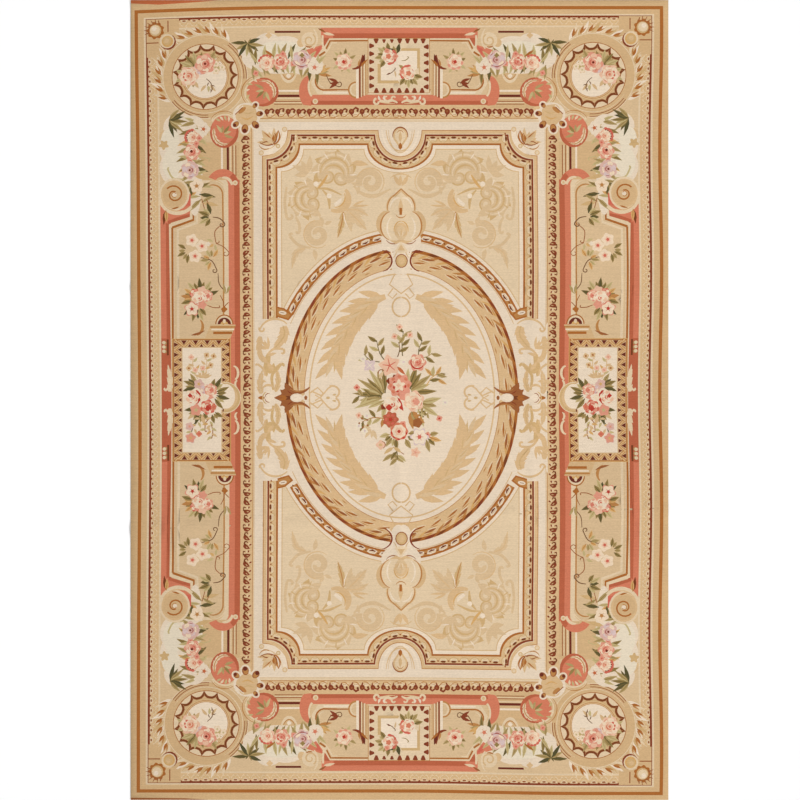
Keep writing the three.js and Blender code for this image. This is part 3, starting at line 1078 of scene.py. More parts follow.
# Corners and middle of the inner frame.
def paw():
    # a round boss with drops around its inner side
    body = (-152.5, 285)
    plan = ((49, 12.8, 3), (6, 13, 3.6), (-48, 13, 4.4), (-98, 13.6, 4.6), (-141, 14, 3.6))
    ink("ivory", oval(body, 14, 12.6))
    for angle, reach, r in plan:
        ink("ivory", oval(polar(body, reach, angle), r + 1.6, 0.8 * r + 1.6, angle))
    ink("honey", bloom(body, 10.8, 5, 0.05, 45))
    for angle, reach, r in plan:
        at = polar(body, reach, angle)
        ink("bark", oval(at, r, 0.76 * r, angle))
        ink("ochre", oval(polar(at, 0.6, angle + 150), 0.7 * r, 0.52 * r, angle))
        ink("maroon", oval(polar(at, 0.42 * r, angle), 0.46 * r, 0.46 * r, angle))
    stroke("gold", [(-158, 283), (-152, 281), (-146, 284)], 1.5, 0.3, 0.3)
    stroke("tan", [(-156, 288), (-151, 286.5), (-145, 289)], 1.3, 0.3, 0.3)
    ink("ochre", oval((-157, 290), 4.8, 2, 40))
    line("shell", [(-164, 287), (-156, 294.5)], 1.1)
    line("bark", [(-164, 286), (-156.5, 293)], 0.9)


def cornerVolute():
    # a pale scroll around the frame's hollow corner, with a flower in its bend
    corner = (-137.4, 269.8)
    ink("ivory", oval((-128, 260), 14))
    bow("shell", corner, 22.4, 22.4, -96, 6, 7.6, 0.7, 0.7)
    for yarn, r, width in (("honey", 26.6, 1.2), ("straw", 20, 0.9)):
        bow(yarn, corner, r, r, -88, -2, width, 0.4, 0.4)
    for angle, rim, r in ((-92, "honey", 2.7), (2, "honey", 2.7), (-45, "tan", 2.3)):
        at = polar(corner, 22.6, angle)
        ink(rim, oval(at, r))
        ink("cream", oval(at, 0.62 * r))
    root = (-126, 255.5)
    fan(("honey", "straw"), root, 88, 172, 5, 17, 5.4)
    leaf("honey", root, (-137.5, 270), 8, 0.6, "straw")
    leaf("ochre", (-125, 256), (-120.5, 270), 3.4, 0.8)
    leaf("amber", (-127, 256.5), (-125, 266), 2.4, 0.5)
    stroke("bark", [(-139, 256), (-132, 258.5), (-126, 254.5)], 1.3, 0.3, 0.3)
    stroke("amber", [(-136, 268), (-130, 263), (-127, 257)], 1.2, 0.3, 0.4)
    bow("bark", (-132, 262), 9.2, 7.4, 215, 400, 1.4, 0.4, 0.4)
    leaf("sand", (-126, 256), (-136, 263), 5, -0.8)
    bow("amber", (-130, 264), 10.4, 9.6, 295, 395, 1.6, 0.6, 0.3)
    bow("ochre", (-134, 258), 7, 7.4, 200, 300, 1.1, 0.3, 0.6)


def notchShell():
    # a small niche in the notch, with a drop of flame
    at = (0.8, 272)
    for yarn, rx, ry, width in (
        ("shell", 18.4, 26.2, 2.6), ("honey", 14.2, 23.2, 1.5), ("straw", 12, 25, 0.9),
    ):
        bow(yarn, at, rx, ry, 185, 355, width, 0.5, 0.5)
    drop = (0.8, 264)
    for yarn, r in (("honey", 7.4), ("cream", 5.6)):
        ink(yarn, [(0.8, 264 - 1.8 * r)] + arc(drop, r, r + 1, -20, 200))
    bow("bark", drop, 7.6, 8.6, -10, 190, 1.4, 0.4, 0.4)
    bow("ochre", (0.8, 266), 3.6, 3.4, 20, 160, 1, 0.4, 0.4)
    leaf("straw", (0.8, 258), (0.8, 268.5), 3.6)
    leaf("amber", (0.8, 250), (0.8, 257.5), 4.2)


def notchPalm():
    bow("honey", (1.4, 214), 14, 12, 40, 140, 1.6, 0.3, 0.3)
    fan(("honey",), (1.2, 212), 60, 120, 3, 16, 4.2, 2)


def pendantHalf():
    # one side of the finial on the oval's top; the other is its mirror image
    puffs("ivory", ((-7, 160, 11.4, 12), (-1, 138, 8, 13)))
    sides = arc((-2, 193), 11.4, 13, 100, 200) + arc((-8, 176), 15.4, 15, 120, 250)
    ink("straw", [(2, 209)] + sides + [(2, 157)])
    puffs("buff", ((-6.5, 174, 13, 15.5), (-2, 193, 9.6, 11)))
    ink("straw", [(2, 212), (-5, 204), (2, 196)])
    ink("buff", [(2, 208.5), (-8, 199), (2, 190)])
    line("ochre", [(1.6, 211), (-6.5, 203.5)], 1.1)
    for yarn, at, rx, ry, first, last, width in (
        ("ochre", (0, 192), 12, 14, 118, 190, 1.3), ("ochre", (-6.5, 174), 12.4, 14.8, 105, 250, 1.6),
        ("shell", (-1, 190), 8.6, 12, 80, 170, 1.5), ("shell", (-4, 172), 8.4, 12.4, 120, 240, 1.6),
        ("gold", (1.5, 169), 7, 9.8, 90, 185, 1.3), ("bark", (-6, 163), 8, 7, 205, 330, 1),
        ("shell", (-17, 141), 10.4, 13.6, 62, -66, 2.2), ("chestnut", (-20.6, 139), 13, 11, 75, -72, 1.7),
        ("straw", (-10, 149), 7, 8, 10, -60, 1),
    ):
        bow(yarn, at, rx, ry, first, last, width, 0.4, 0.4)


def pendantMiddle():
    leaf("honey", (1.2, 184.5), (1.2, 201), 5)
    line("amber", [(1.2, 185), (1.2, 192)], 2.6)
    bow("ochre", (1.4, 187), 5.4, 5, 200, 340, 1, 0.4, 0.4)
    ink("sand", oval((1.5, 168), 6, 8.4))
    bow("honey", (1.5, 168), 5.6, 8, -25, 205, 2.4, 0.6, 0.6)
    fan(("straw", "cream"), (1.5, 160.5), 55, 125, 5, 11, 1.6, 3)
    ink("honey", [(-10, 159.5), (14, 159), (6, 156), (1.5, 158), (-4, 156)])
    ink("cream", [(-5, 148.5), (1.5, 158.5), (8.5, 148.5), (1.5, 146)])
    ink("straw", [(-2, 149.5), (1.5, 155.5), (5.5, 149.5)])
    for yarn, rx, ry in (("bark", 6.3, 7), ("tan", 5.4, 6.1), ("honey", 3.4, 4)):
        ink(yarn, oval((2, 139), rx, ry))


def strapwork():
    # half of the knotted straps inside the oval's ends, and half of their ring
    line("straw", [(-4.5, 126), (-10, 115.5), (2, 106)], 1.3)
    line("straw", [(-6.5, 111.5), (-11.5, 105), (-7, 101.5), (-2.5, 106.5)], 1.3)
    bow("straw", (1.2, 93), 8.4, 9.6, 90, 270, 1.7)


def spandrel():
    # leafy scrolls, tan on cream: two fluted ones, three coils, and leaves between
    cScroll((-65, 227), 13, -40, 205, 18.5, "sand", "buff", "tan")
    cScroll((-91.5, 201), 11.6, 60, 310, 17, "sand", "buff", "tan")
    bow("honey", (-64, 202), 13, 13, 40, -110, 7, 0.4, 0.4)
    bow("gold", (-65, 203), 10.6, 10.6, 20, -90, 1.4, 0.4, 0.4)
    ink("shell", [(-66, 196), (-58, 202.5), (-58, 198), (-64, 193.5)])
    stroke("gold", [(-72, 225), (-77, 217), (-83, 210)], 2.8, 0.4, 0.4)
    stroke("tan", [(-84, 211), (-72, 211), (-58, 205)], 2.4, 0.4, 0.4)
    stroke("tan", [(-77, 210), (-71, 202), (-70, 191)], 3, 0.4, 0.4)
    for at in ((-83.5, 216), (-70.5, 204)):
        ink("shell", oval(at, 2.6))
    for at, r, start, side in (((-29, 218), 12, 200, 1), ((-82, 165.5), 12, 60, -1)):
        coil("sand", at, r, start, start - side * 480, 6.4, 0.25, 0.6)
        coil("honey", at, r + 2.2, start - side * 40, start - side * 250, 1.2, 0.95, 0.4)
        fan(("sand", "buff"), polar(at, r, start), start - 40, start + 60, 3, 9, 4)
    stroke("sand", [(-46, 214), (-37, 206), (-24, 204), (-9, 211)], 4, 0.4, 0.3)
    fan(("sand",), (-91, 227), 85, 190, 4, 18, 6.4)
    acanthus("sand", curve([(-53, 190), (-44, 182), (-33, 170)], 4), 13, 4, "honey", 0.6)
    acanthus("sand", curve([(-52, 190), (-42, 190), (-31, 184)], 4), 9, 3, "honey", 0.5)
    acanthus("sand", curve([(-53, 189), (-51, 180), (-48, 168)], 4), 9, 3, None, 0.6)
    fan(("honey",), (-47, 194), 3, 24, 2, 17, 2.4)
    acanthus("tan", curve([(-56, 188), (-58, 176), (-62, 162)], 4), 7.4, 4, "ochre", 0.6)
    ink("shell", ribbon([(-56, 187), (-55, 180), (-52, 173)], 1.2, 0.5, 0.4))
    leaf("honey", (-48, 237), (-31, 235), 6, 0.6)
    acanthus("sand", curve([(-94, 152), (-104, 147), (-108, 131)], 4), 8, 4, "honey", 0.5)
    tendril("sand", (-113, 213), (-113, 182), -0.06, 4, 2.8, 220)
    tendril("sand", (-104, 183), (-100, 168), 0.1, 2.6, 2.8, 150)
    tendril("sand", (-89, 152), (-110, 164), 0.15, 2.4, 3, 150)
    leaf("sand", (-86, 151), (-84, 139), 5, 0.6)


print("chart: frame corners and finials")
for motif in (spandrel, cornerVolute, paw):
    drawn(motif, allQuarters)
bothEnds = [(1, 1), (1, -1)]
for motif in (notchShell, notchPalm):
    drawn(motif, bothEnds)
for motif in (pendantHalf, strapwork):
    drawn(motif, allQuarters, (1.6, 0))
drawn(pendantMiddle, bothEnds)


# Oval's leaf wreath, side clasps and the scrolls beside them.
wreathAt = (1.2, 3.2)
claspAt = (2.3, 2.2)


def wreathLeaf():
    # long overlapping leaves up the oval's side, all pointing to the clasp
    spine = arc(heart, 73, 102, 103, 162, 4)
    ink("honey", ribbon(spine, 13, 0.4, 0.9))
    foliage(spine, ("honey",), 15, 26, 7.4, 32)
    foliage(spine[:-3], ("honey",), 8, 19, 5, 44)
    foliage(spine, ("sand", "honey"), 13, 19, 4.4, 12)
    foliage(spine[3:], ("tan",), 10, 14, 1.3, 16)


def column():
    # an acanthus and scrolls between the frame's foot and the oval
    foot = arc((-125, 66), 16, 15, 165, 42)
    ink("ivory", [(-143.6, 2), (-143.6, 78)] + foot + arc(heart, 119.2, 149, 151, 181, 8))
    # the chain's last link turns level to meet the frame's foot
    ink("amber", [(-122.8, 93.4), (-115.4, 91.6), (-107, 85), (-111.5, 79.6), (-122.8, 83)])
    ink("ochre", [(-122.8, 91.8), (-116, 90.2), (-109.5, 85), (-112, 81.4), (-122.8, 84.6)])
    ink("ivory", oval((-117.4, 87.2), 4, 2, -10))
    ink("umber", ribbon([(-119.6, 87.6), (-115.6, 86.9)], 1.3, 0.4, 0.4))
    ink("honey", ribbon(foot, 2.2, 0.6, 0.5))
    coil("honey", (-138, 71), 3.2, 150, 400, 2, 0.5, 0.7)
    acanthus("honey", curve([(-117, 74), (-116, 64), (-127, 50)], 3), 12, 4, "tan", 0.8, 0.7)
    fan(("honey",), (-131.5, 51), 95, 175, 5, 13, 2.8)
    tendril("honey", (-134, 44), (-117, 51), 0.2, 3.2, 2.4, 200)
    acanthus("tan", curve([(-131, 46), (-134, 36), (-133.5, 23)], 3), 8, 3, None, 0.7)
    tendril("honey", (-135, 24), (-143, 36), -0.15, 2, 2.2, 90)
    leaf("honey", (-133, 37), (-143.5, 48), 6, 0.4)
    leaf("honey", (-132.5, 44), (-123.5, 47), 3.4, 0.4)
    leaf("honey", (-134, 18.5), (-143, 20), 3, 0.3)
    acanthus("honey", curve([(-140, 64), (-141, 50), (-137, 38)], 3), 8, 4, None, 0.6)
    acanthus("honey", curve([(-139, 6), (-140.5, 16), (-138, 30)], 3), 8, 4, "sand", 0.7)
    fan(("honey", "tan"), (-127, 27), 55, 150, 4, 13, 5)
    acanthus("honey", curve([(-125, 8), (-122, 18), (-124, 32)], 3), 7, 4, "tan", 0.6)
    tendril("tan", (-127, 10), (-119, 36), 0.2, 2.6, 3, 120)
    bow("honey", (-132, 8), 7, 7, 30, 150, 2.6, 0.4, 0.4)


def clasp():
    # brown clasp over the ring, with a pale jewel, a bead and knotted straps
    ink("bark", oval((-113, 5), 6, 7, 30))
    leaf("bark", (-106, 2), (-126.5, 2.2), 9)
    leaf("bark", (-108, 5), (-120.5, 10.5), 7, 1.4)
    leaf("bark", (-106, 6), (-115.5, 17.5), 8, 1.6)
    leaf("amber", (-112, 3.5), (-122, 4), 2.4, 0.4)
    leaf("chestnut", (-108, 6), (-113.5, 14), 3, 0.8)
    leaf("umber", (-107.5, 2.5), (-115, 4), 2.6, 0.4)
    bow("bark", (-102, 20), 14, 12.4, 205, 325, 3.6, 1, 0.3)
    bow("ochre", (-102, 20), 12.8, 11.4, 230, 310, 1, 0.4, 0.4)
    line("honey", [(-90, 7), (-82.5, 12.5), (-77, 7), (-79, 4.5), (-89, 9)], 1.5)
    line("honey", [(-85, 5), (-80, 2), (-72, 11.5), (-68, 14)], 1.5)
    bow("honey", (-68, 8), 7.4, 6.2, 110, -60, 2)
    leaf("tan", (-63.5, 5.5), (-68, 5), 2)
    leaf("amber", (-135.5, 2.2), (-142.5, 2.6), 3.6)
    bow("tan", (-132, 2), 5.8, 6.6, 110, 180, 1.3, 0.5, 0.8)
    bow("bark", (-131.5, 2), 4.2, 4.8, 80, 170, 0.9, 0.5, 0.5)
    for yarn, at, rx, ry in (
        ("shell", (-130, 2), 3.4, 2.9), ("ivory", (-103.5, 2), 6.6, 4.2), ("shell", (-104, 2.3), 4.6, 3),
        ("ivory", (-94.2, 2.3), 3.3, 4), ("bark", (-94.4, 2.4), 1.6, 2.1), ("tan", (-72, 2.2), 2, 1.4),
    ):
        ink(yarn, oval(at, rx, ry))


print("chart: wreath and clasps")
drawn(wreathLeaf, allQuarters, wreathAt)
drawn(column, allQuarters, claspAt)
drawn(clasp, allQuarters, claspAt)


# Bouquet in the middle of the oval.
def bouquetLeaves():
    # leaf fans: yarns, place, first and last angle, count, length, width, inner
    for fanPlan in (
        (("olive", "leaf", "sage"), (-14, 3), 95, 200, 9, 34, 5.2, 4),
        (("sage", "leaf"), (-12, 1), 205, 255, 3, 22, 5, 4),
        (("olive", "sage", "leaf", "olive"), (8, 8), 2, 88, 6, 30, 6, 4),
        (("sage", "leaf"), (18, -3), -75, 12, 5, 25, 6, 4),
        (("gold",), (35, 22), 60, 135, 3, 14, 3.8, 3),
        (("gold", "olive"), (35, 23), -30, 15, 2, 15, 3.8, 3),
        (("leaf", "olive", "gold"), (26, -36), -75, 12, 4, 17, 5, 4),
        (("sand",), (-27, -28), 175, 290, 5, 13, 3.8, 2),
        (("sage", "olive", "leaf"), (-4, -33), 195, 275, 5, 17, 5, 6),
        (("leaf", "olive"), (3, -34), -60, 5, 3, 17, 5.6, 6),
        (("ochre", "leaf"), (10, -8), -80, -45, 3, 22, 6, 4),
        (("sage", "ochre"), (-16, -16), 215, 300, 3, 15, 4, 3),
        (("leaf", "sand"), (-6, -54), 215, 320, 3, 14, 4.2, 0),
    ):
        fan(*fanPlan)
    stems = (
        ("olive", (3, 44), (4, 69), 0.04), ("twig", (-2, 43), (-1, 58), -0.12),
        ("olive", (-12, 36), (-23, 60), 0.1), ("olive", (-20, 38), (-36, 46), 0.15),
        ("olive", (19, 40), (23, 60), 0.08), ("leaf", (22, 42), (33, 47), -0.1),
        ("gold", (27, 14), (39, 27), 0.1), ("moss", (-19, 5), (-42, 4), 0.04),
        ("ochre", (-14, -19), (-38, -22), -0.12), ("olive", (-4, -47), (-2, -60), 0.05),
    )
    for yarn, base, tip, bend in stems:
        dx, dy = tip[0] - base[0], tip[1] - base[1]
        path = curve([base, (base[0] + 0.5 * dx - bend * dy, base[1] + 0.5 * dy + bend * dx), tip], 4)
        ink("moss" if yarn == "olive" else yarn, ribbon(path, 1, 1, 0.5))
        count = 4 if math.hypot(dx, dy) > 20 else 3
        foliage(path[len(path) // 3:], ("olive", "sage", "leaf"), count, 11, 4.2, 48)


def bouquetBlooms():
    # buds around the bouquet
    buds("blush", "coral", ((0, 73), (-5, 63.5), (10.5, 65), (-41, -15.5)), 3)
    buds("pink", "red", ((-43, 12.5), (40, -18.5), (3.5, -24), (28, -35)), 3)
    buds("cloud", "lilac", ((4, 38), (-33, -16), (-41, -26), (-35, -31), (-36.5, 41), (46, -2.5)), 3)
    lily((-30, 34.5), 7.4, 40, "lilac", "cloud", 4)
    lily((-10, 34.5), 11.6, 30, "blush", "rose")
    leaf("sand", (-20.5, 21.5), (-16, 29), 3.6)
    coil("bark", (-18, 27.5), 3.4, 200, 30, 1, 0.8)
    # upper roses
    rose((18, 37.5), 8.4, 0, "pink")
    bow("red", (18, 37.5), 6.6, 6.2, 150, 340, 1.6, 0.5, 0.4)
    leaf("rust", (-2.5, 33.5), (6, 25), 3.6)
    buds("chestnut", "maroon", ((-10.5, 19), (-4.5, 22.5), (-16, -7)), 2.8)
    # middle
    ink("pink", bloom((0, 14.5), 11.4, 8, 0.1, 10))
    petalArc("coral", (0, 14.5), 9, 0, 315, 8, 2.2)
    petalArc("red", (0, 14.5), 6, 150, 350, 5, 1.6)
    ink("petal", bloom((-0.5, 14.5), 5, 5, 0.3, 20))
    ink("blush", bloom((-1, 14.5), 2, 4, 0.2))
    ink("pink", bloom((5, 4.5), 5.4, 5, 0.1))
    rose((14.5, -1), 10, 20, "pale")
    ink("pink", bloom((17, -2), 3.2, 5, 0.12))
    leaf("red", (-4, 4), (4, -11), 6.4, -0.6)
    rose((-7.5, -4.5), 8.2, 0, "cream")
    ink("red", bloom((-10.5, -7.5), 3, 4, 0.12))
    # lower flowers
    ink("brick", bloom((-9, -19.5), 7.6, 7, 0.12))
    petalArc("rose", (-9, -19.5), 4.6, 0, 300, 6, 2)
    ink("red", bloom((-9, -19.5), 2, 5, 0.2))
    ink("bark", bloom((18, -23), 4.6, 5, 0.1))
    berries("moss", (23, -14), 2.6, 5, 0.8)
    berries("shell", (23, -14), 4.4, 7, 0.9, 20)
    ink("coral", bloom((-0.5, -31.5), 8.8, 7, 0.06))
    ink("petal", bloom((-0.5, -31.5), 6.8, 7, 0.06, 20))
    ink("blush", bloom((-0.5, -31.5), 4, 6, 0.1))
    petalArc("red", (-0.5, -31.5), 7.8, 190, 345, 5, 1.4)
    ink("red", bloom((-0.5, -31.5), 1.7, 4, 0.2))
    blossom((20, -37), 7.2, 0, "shell", "rose", "lilac", 6)
    berries("bark", (-36, -23), 4.6, 5, 1.1, 40)
    buds("blush", "tan", ((-19, -45),), 4.4)
    bow("bark", (-19, -45), 4.8, 4, 70, -60, 1, 0.5, 0.5)
    line("bark", [(-15, -54), (-6, -47.5), (4.5, -54.5)], 0.8)
    fan(("tan",), (-6, -47.5), 215, 325, 2, 12, 3.8)
    lily((16, -52.5), 5.6, 70, "blush", "pink")


print("chart: bouquet")
bouquetLeaves()
bouquetBlooms()


# Sheet: the shapes are cut into one mesh, closed with a rounded hem and a canvas
# back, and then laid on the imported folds.
rugPlan = {
    "stitch": 0.0034,
    "across": 268.8,
    "along": 400,
    "thickness": 0.004,
    "hem": 0.001,
    "grid": 12,
    "patchDrift": 0.014,
    "slack": 0.1,
    "longest": 26,
    "thinTurns": 5,
    "gain": 0.978,
    "back": (186, 164, 132),
    "hemShade": 0.9,
    "rimLevels": (0.74, 0.26),  # shares of the thickness where the hem turns
    "firstGrid": 60,
    "backGrid": 24,
    "seed": 7,
}
wanderPlan = {
    "leftHead": (-2.1, 400, 120),  # reach across, place along the rug and spread
    "leftMiddle": (1.7, -40, 150),
    "rightWave": (0.9, -50, 240),  # reach, start and length
    "head": (0.5, -4.15, -109, 150, 1.6),  # lift, drop, and the drop's start, spread and power
    "foot": (0.9, -2.5, 180),  # lift, drop and the drop's spread
    "across": 260,  # where the drift is full
    "along": 390,
    "fade": 5,
}
# painted light: how far the colour is darkened at the left and right sides and lightened at the head, for the
# lamps' falloff
paintedLightPlan = {
    "left": (0.11, -0.3, 0.614),  # depth, start and width, in metres
    "right": (0.05, 0.5, 0.35, -0.1, 0.4),  # the same, then its middle and spread along the rug
    "head": (0.045, 1.2, 0.14),
}
mapPlan = {
    "face": (0.004, 0.004, 0.664, 0.992),  # left, foot, width and height in the map
    "back": (0.68, 0.01, 0.31, 0.46),
    "hem": (0.68, 0.98, 0.31, 0.03, 0.025),  # left, head, width, and a strip's pitch and height
}
foldPlan = {
    "longFolds": ((-0.457, 0.0026, 0.026), (0, 0.003, 0.028), (0.454, 0.0026, 0.026)),
    "crossFolds": ((0.377, -0.004, 0.0026, 0.026), (-0.404, 0.041, 0.0042, 0.034)),
    "curlHeight": 0.003,
    "curlReach": 0.034,
    "curlFrom": -0.47,
    "curlSpan": 0.2,
}
foldRows = (-1, -0.66, -0.33, 0, 0.33, 0.66, 1)


def edgeGap(places):
    # stitches from each place to the nearest side of the rug
    return np.minimum(rugPlan["across"] - abs(places[:, 0]), rugPlan["along"] - abs(places[:, 1]))


def wander(places):
    # the slow drift of the stitched lines across the rug; its outline stays straight
    x, y = places[:, 0], places[:, 1]
    left = 0
    for reach, at, spread in (wanderPlan["leftHead"], wanderPlan["leftMiddle"]):
        left = left + reach * np.exp(-((y - at) / spread) ** 2)
    reach, start, length = wanderPlan["rightWave"]
    right = reach * np.sin(2 * np.pi * (start - y) / length)
    lift, drop, start, spread, power = wanderPlan["head"]
    head = lift + drop * np.clip((start - x) / spread, 0, None) ** power
    lift, drop, spread = wanderPlan["foot"]
    t = np.clip(x / spread, 0, 1)
    foot = lift + drop * t * t * (3 - 2 * t)
    across, along = wanderPlan["across"], wanderPlan["along"]
    dx = left * np.clip(-x, 0, None) / across + right * np.clip(x, 0, None) / across
    dy = head * np.clip(y, 0, None) / along + foot * np.clip(-y, 0, None) / along
    fade = np.clip(edgeGap(places) / wanderPlan["fade"], 0, 1)
    return np.stack([x + dx * fade, y + dy * fade], axis=1)


def ownPoints(step):
    # the mesh's own points: an even grid, and close rows along every fold
    across, along, stitch = rugPlan["across"], rugPlan["along"], rugPlan["stitch"]
    xs = np.linspace(-across, across, round(2 * across / step) + 1)
    ys = np.linspace(-along, along, round(2 * along / step) + 1)
    points = [(x, y) for x in xs for y in ys]
    for at, height, reach in foldPlan["longFolds"]:
        points += [((at + t * reach) / stitch, y) for t in foldRows for y in ys]
    for at, drift, height, reach in foldPlan["crossFolds"]:
        points += [(x, (at + t * reach) / stitch + drift * x) for t in foldRows for x in xs]
    return points


def triangulate(points, edges):
    found = delaunay_2d_cdt([Vector(p) for p in points], edges, [], 0, 1e-4, False)
    places = np.array([(v.x, v.y) for v in found[0]])
    faces = np.array([f for f in found[2] if len(f) == 3])
    return places, faces


def topMarks(centres):
    # the last shape drawn over each centre
    order = np.argsort(centres[:, 0])
    xs, ys = centres[order, 0], centres[order, 1]
    top = np.zeros(len(xs), dtype=int)
    for index, (yarn, outline) in enumerate(marks):
        ring = np.array(outline)
        low, high = ring.min(axis=0), ring.max(axis=0)
        first, last = np.searchsorted(xs, (low[0], high[0]))
        near = first + np.nonzero((ys[first:last] >= low[1]) & (ys[first:last] <= high[1]))[0]
        turns = np.zeros(len(near), dtype=int)
        px, py = xs[near], ys[near]
        for (ax, ay), (bx, by) in zip(ring, np.roll(ring, -1, axis=0)):
            if ay == by:
                continue
            side = (bx - ax) * (py - ay) - (px - ax) * (by - ay)
            if ay < by:
                turns += (py >= ay) & (py < by) & (side > 0)
            else:
                turns -= (py >= by) & (py < ay) & (side < 0)
        top[near[turns != 0]] = index
    found = np.empty_like(top)
    found[order] = top
    return found


def colourEdges(faces, yarnOf):
    # the sides of triangles that part two yarns, and the outline's own sides
    sides = np.sort(np.concatenate([faces[:, [0, 1]], faces[:, [1, 2]], faces[:, [2, 0]]]), axis=1)
    owner = np.tile(yarnOf, 3)
    order = np.lexsort((sides[:, 1], sides[:, 0]))
    sides, owner = sides[order], owner[order]
    twin = np.all(sides[1:] == sides[:-1], axis=1)
    parting = np.nonzero(twin & (owner[1:] != owner[:-1]))[0]
    return sides[parting]


def thinned(places, sides):
    # joins the sides at points that hardly bend the line they stand on
    rng = np.random.default_rng(rugPlan["seed"])
    for turn in range(rugPlan["thinTurns"]):
        ends, others = sides.T.ravel(), sides[:, ::-1].T.ravel()
        order = np.argsort(ends, kind="stable")
        ends, others = ends[order], others[order]
        meets = np.bincount(ends, minlength=len(places))
        plain = np.nonzero(meets == 2)[0]
        first = np.searchsorted(ends, plain)
        a, b = others[first], others[first + 1]
        chord, off = places[b] - places[a], places[plain] - places[a]
        length = np.hypot(chord[:, 0], chord[:, 1])
        gap = abs(chord[:, 0] * off[:, 1] - chord[:, 1] * off[:, 0]) / np.maximum(length, 1e-9)
        free = (gap < rugPlan["slack"]) & (length > 0.01) & (length < rugPlan["longest"])
        rank = np.full(len(places), np.inf)
        rank[plain[free]] = rng.permutation(int(free.sum()))
        pick = free & (rank[plain] < rank[a]) & (rank[plain] < rank[b])
        gone = np.isin(sides, plain[pick]).any(axis=1)
        joined = np.column_stack([a[pick], b[pick]])
        sides = np.unique(np.sort(np.concatenate([sides[~gone], joined]), axis=1), axis=0)
    return sides


def cutChart():
    across, along = rugPlan["across"], rugPlan["along"]
    points, edges = [], []
    for yarn, outline in marks:
        first, count = len(points), len(outline)
        points += [(min(across, max(-across, x)), min(along, max(-along, y))) for x, y in outline]
        edges += [(first + k, first + (k + 1) % count) for k in range(count)]
    spare = ownPoints(rugPlan["grid"])
    places, faces = triangulate(points + ownPoints(rugPlan["firstGrid"]), edges)
    print("sheet: first cut", len(places), "points", len(faces), "triangles")
    top = topMarks(places[faces].mean(axis=1))
    names = {name: k for k, name in enumerate(yarns)}
    yarnOf = np.array([names[yarn] for yarn, outline in marks])
    kept = thinned(places, colourEdges(faces, yarnOf[top]))
    used = np.unique(kept)
    renamed = np.full(len(places), -1)
    renamed[used] = np.arange(len(used))
    places, faces = triangulate([tuple(p) for p in places[used]] + spare, renamed[kept].tolist())
    print("sheet: second cut", len(places), "points", len(faces), "triangles")
    return places, faces, topMarks(places[faces].mean(axis=1))


def linear(colour):
    # plain light values of a yarn's listed colour
    parts = np.array(colour) / 255
    return np.where(parts <= 0.04045, parts / 12.92, ((parts + 0.055) / 1.055) ** 2.4)


def outlineRing(places):
    # the points on the outline, in turn around it
    ring = np.nonzero(edgeGap(places) < 1e-3)[0]
    return ring[np.argsort(np.arctan2(places[ring, 1], places[ring, 0]))]


def flatSheet():
    # face, hem and back as one closed mesh, still flat
    stitch, thick, hem = rugPlan["stitch"], rugPlan["thickness"], rugPlan["hem"]
    half = np.array([rugPlan["across"], rugPlan["along"]]) * stitch
    face, faceTriangles, top = cutChart()
    ring = outlineRing(face)
    inside = [p for p in ownPoints(rugPlan["backGrid"]) if edgeGap(np.array([p]))[0] > 1]
    back, backTriangles = triangulate([tuple(face[k]) for k in ring] + inside, [])
    backRing = outlineRing(back)
    facePlaces, backPlaces = wander(face) * stitch, back * stitch
    rim = facePlaces[ring]
    inner = (half - hem) / half
    high, low = rugPlan["rimLevels"]
    layers = [
        (facePlaces * inner, thick), (rim, thick * high), (rim, thick * low), (backPlaces * inner, 0),
    ]
    points = np.concatenate([np.column_stack([xy, np.full(len(xy), z)]) for xy, z in layers])
    starts = np.cumsum([0] + [len(xy) for xy, z in layers])
    loops = [ring, starts[1] + np.arange(len(ring)), starts[2] + np.arange(len(ring)), starts[3] + backRing]
    quads = []
    for upper, lower in zip(loops, loops[1:]):
        quads.append(np.column_stack([upper, lower, np.roll(lower, -1), np.roll(upper, -1)]))
    underside = (backTriangles[:, ::-1] + starts[3]).tolist()
    faces = faceTriangles.tolist() + np.concatenate(quads).tolist() + underside
    rng = np.random.default_rng(rugPlan["seed"])
    patch = 1 + rugPlan["patchDrift"] * rng.uniform(-1, 1, (len(marks), 1))
    markColours = np.array([linear(yarns[yarn]) for yarn, outline in marks]) * patch
    hemColour = np.tile(linear(yarns["wheat"]) * rugPlan["hemShade"], (2 * len(ring), 1))
    backColour = np.tile(linear(rugPlan["back"]), (len(ring) + len(backTriangles), 1))
    colours = np.concatenate([markColours[top], hemColour, backColour])
    mesh = bpy.data.meshes.new("needlepoint rug")
    mesh.from_pydata(points.tolist(), [], faces)
    mesh.update()
    sizes = [len(f) for f in faces]
    spread = np.repeat(np.column_stack([colours, np.ones(len(colours))]), sizes, axis=0)
    # painted light: the falloff across the rug is multiplied into the yarn colours
    spread[:, :3] *= paintedLightFalloff(points[np.concatenate(faces)])[:, None] * rugPlan["gain"]
    layer = mesh.color_attributes.new("yarn", "FLOAT_COLOR", "CORNER")
    layer.data.foreach_set("color", spread.ravel().astype(np.float32))
    mesh.polygons.foreach_set("use_smooth", np.ones(len(faces), dtype=bool))
    addBakeMap(mesh, points, half, len(faceTriangles), 3 * len(ring), len(ring))
    return mesh


def paintedLightFalloff(points):
    # painted light: the colour is darkened towards the left side and a little at the middle of the right,
    # and lightened along the head, standing in for the lamps' light falling off across the rug
    x, y = points[:, 0], points[:, 1]
    depth, start, width = paintedLightPlan["left"]
    left = depth * np.clip((start - x) / width, 0, 1)
    depth, start, width, at, spread = paintedLightPlan["right"]
    right = depth * np.clip((x - start) / width, 0, 1) * np.exp(-((y - at) / spread) ** 2)
    depth, start, width = paintedLightPlan["head"]
    head = depth * np.clip((y - start) / width, 0, 1)
    return 1 - left - right + head


def inPatch(name, share):
    left, foot, width, height = mapPlan[name]
    return np.column_stack([left + width * share[:, 0], foot + height * share[:, 1]])


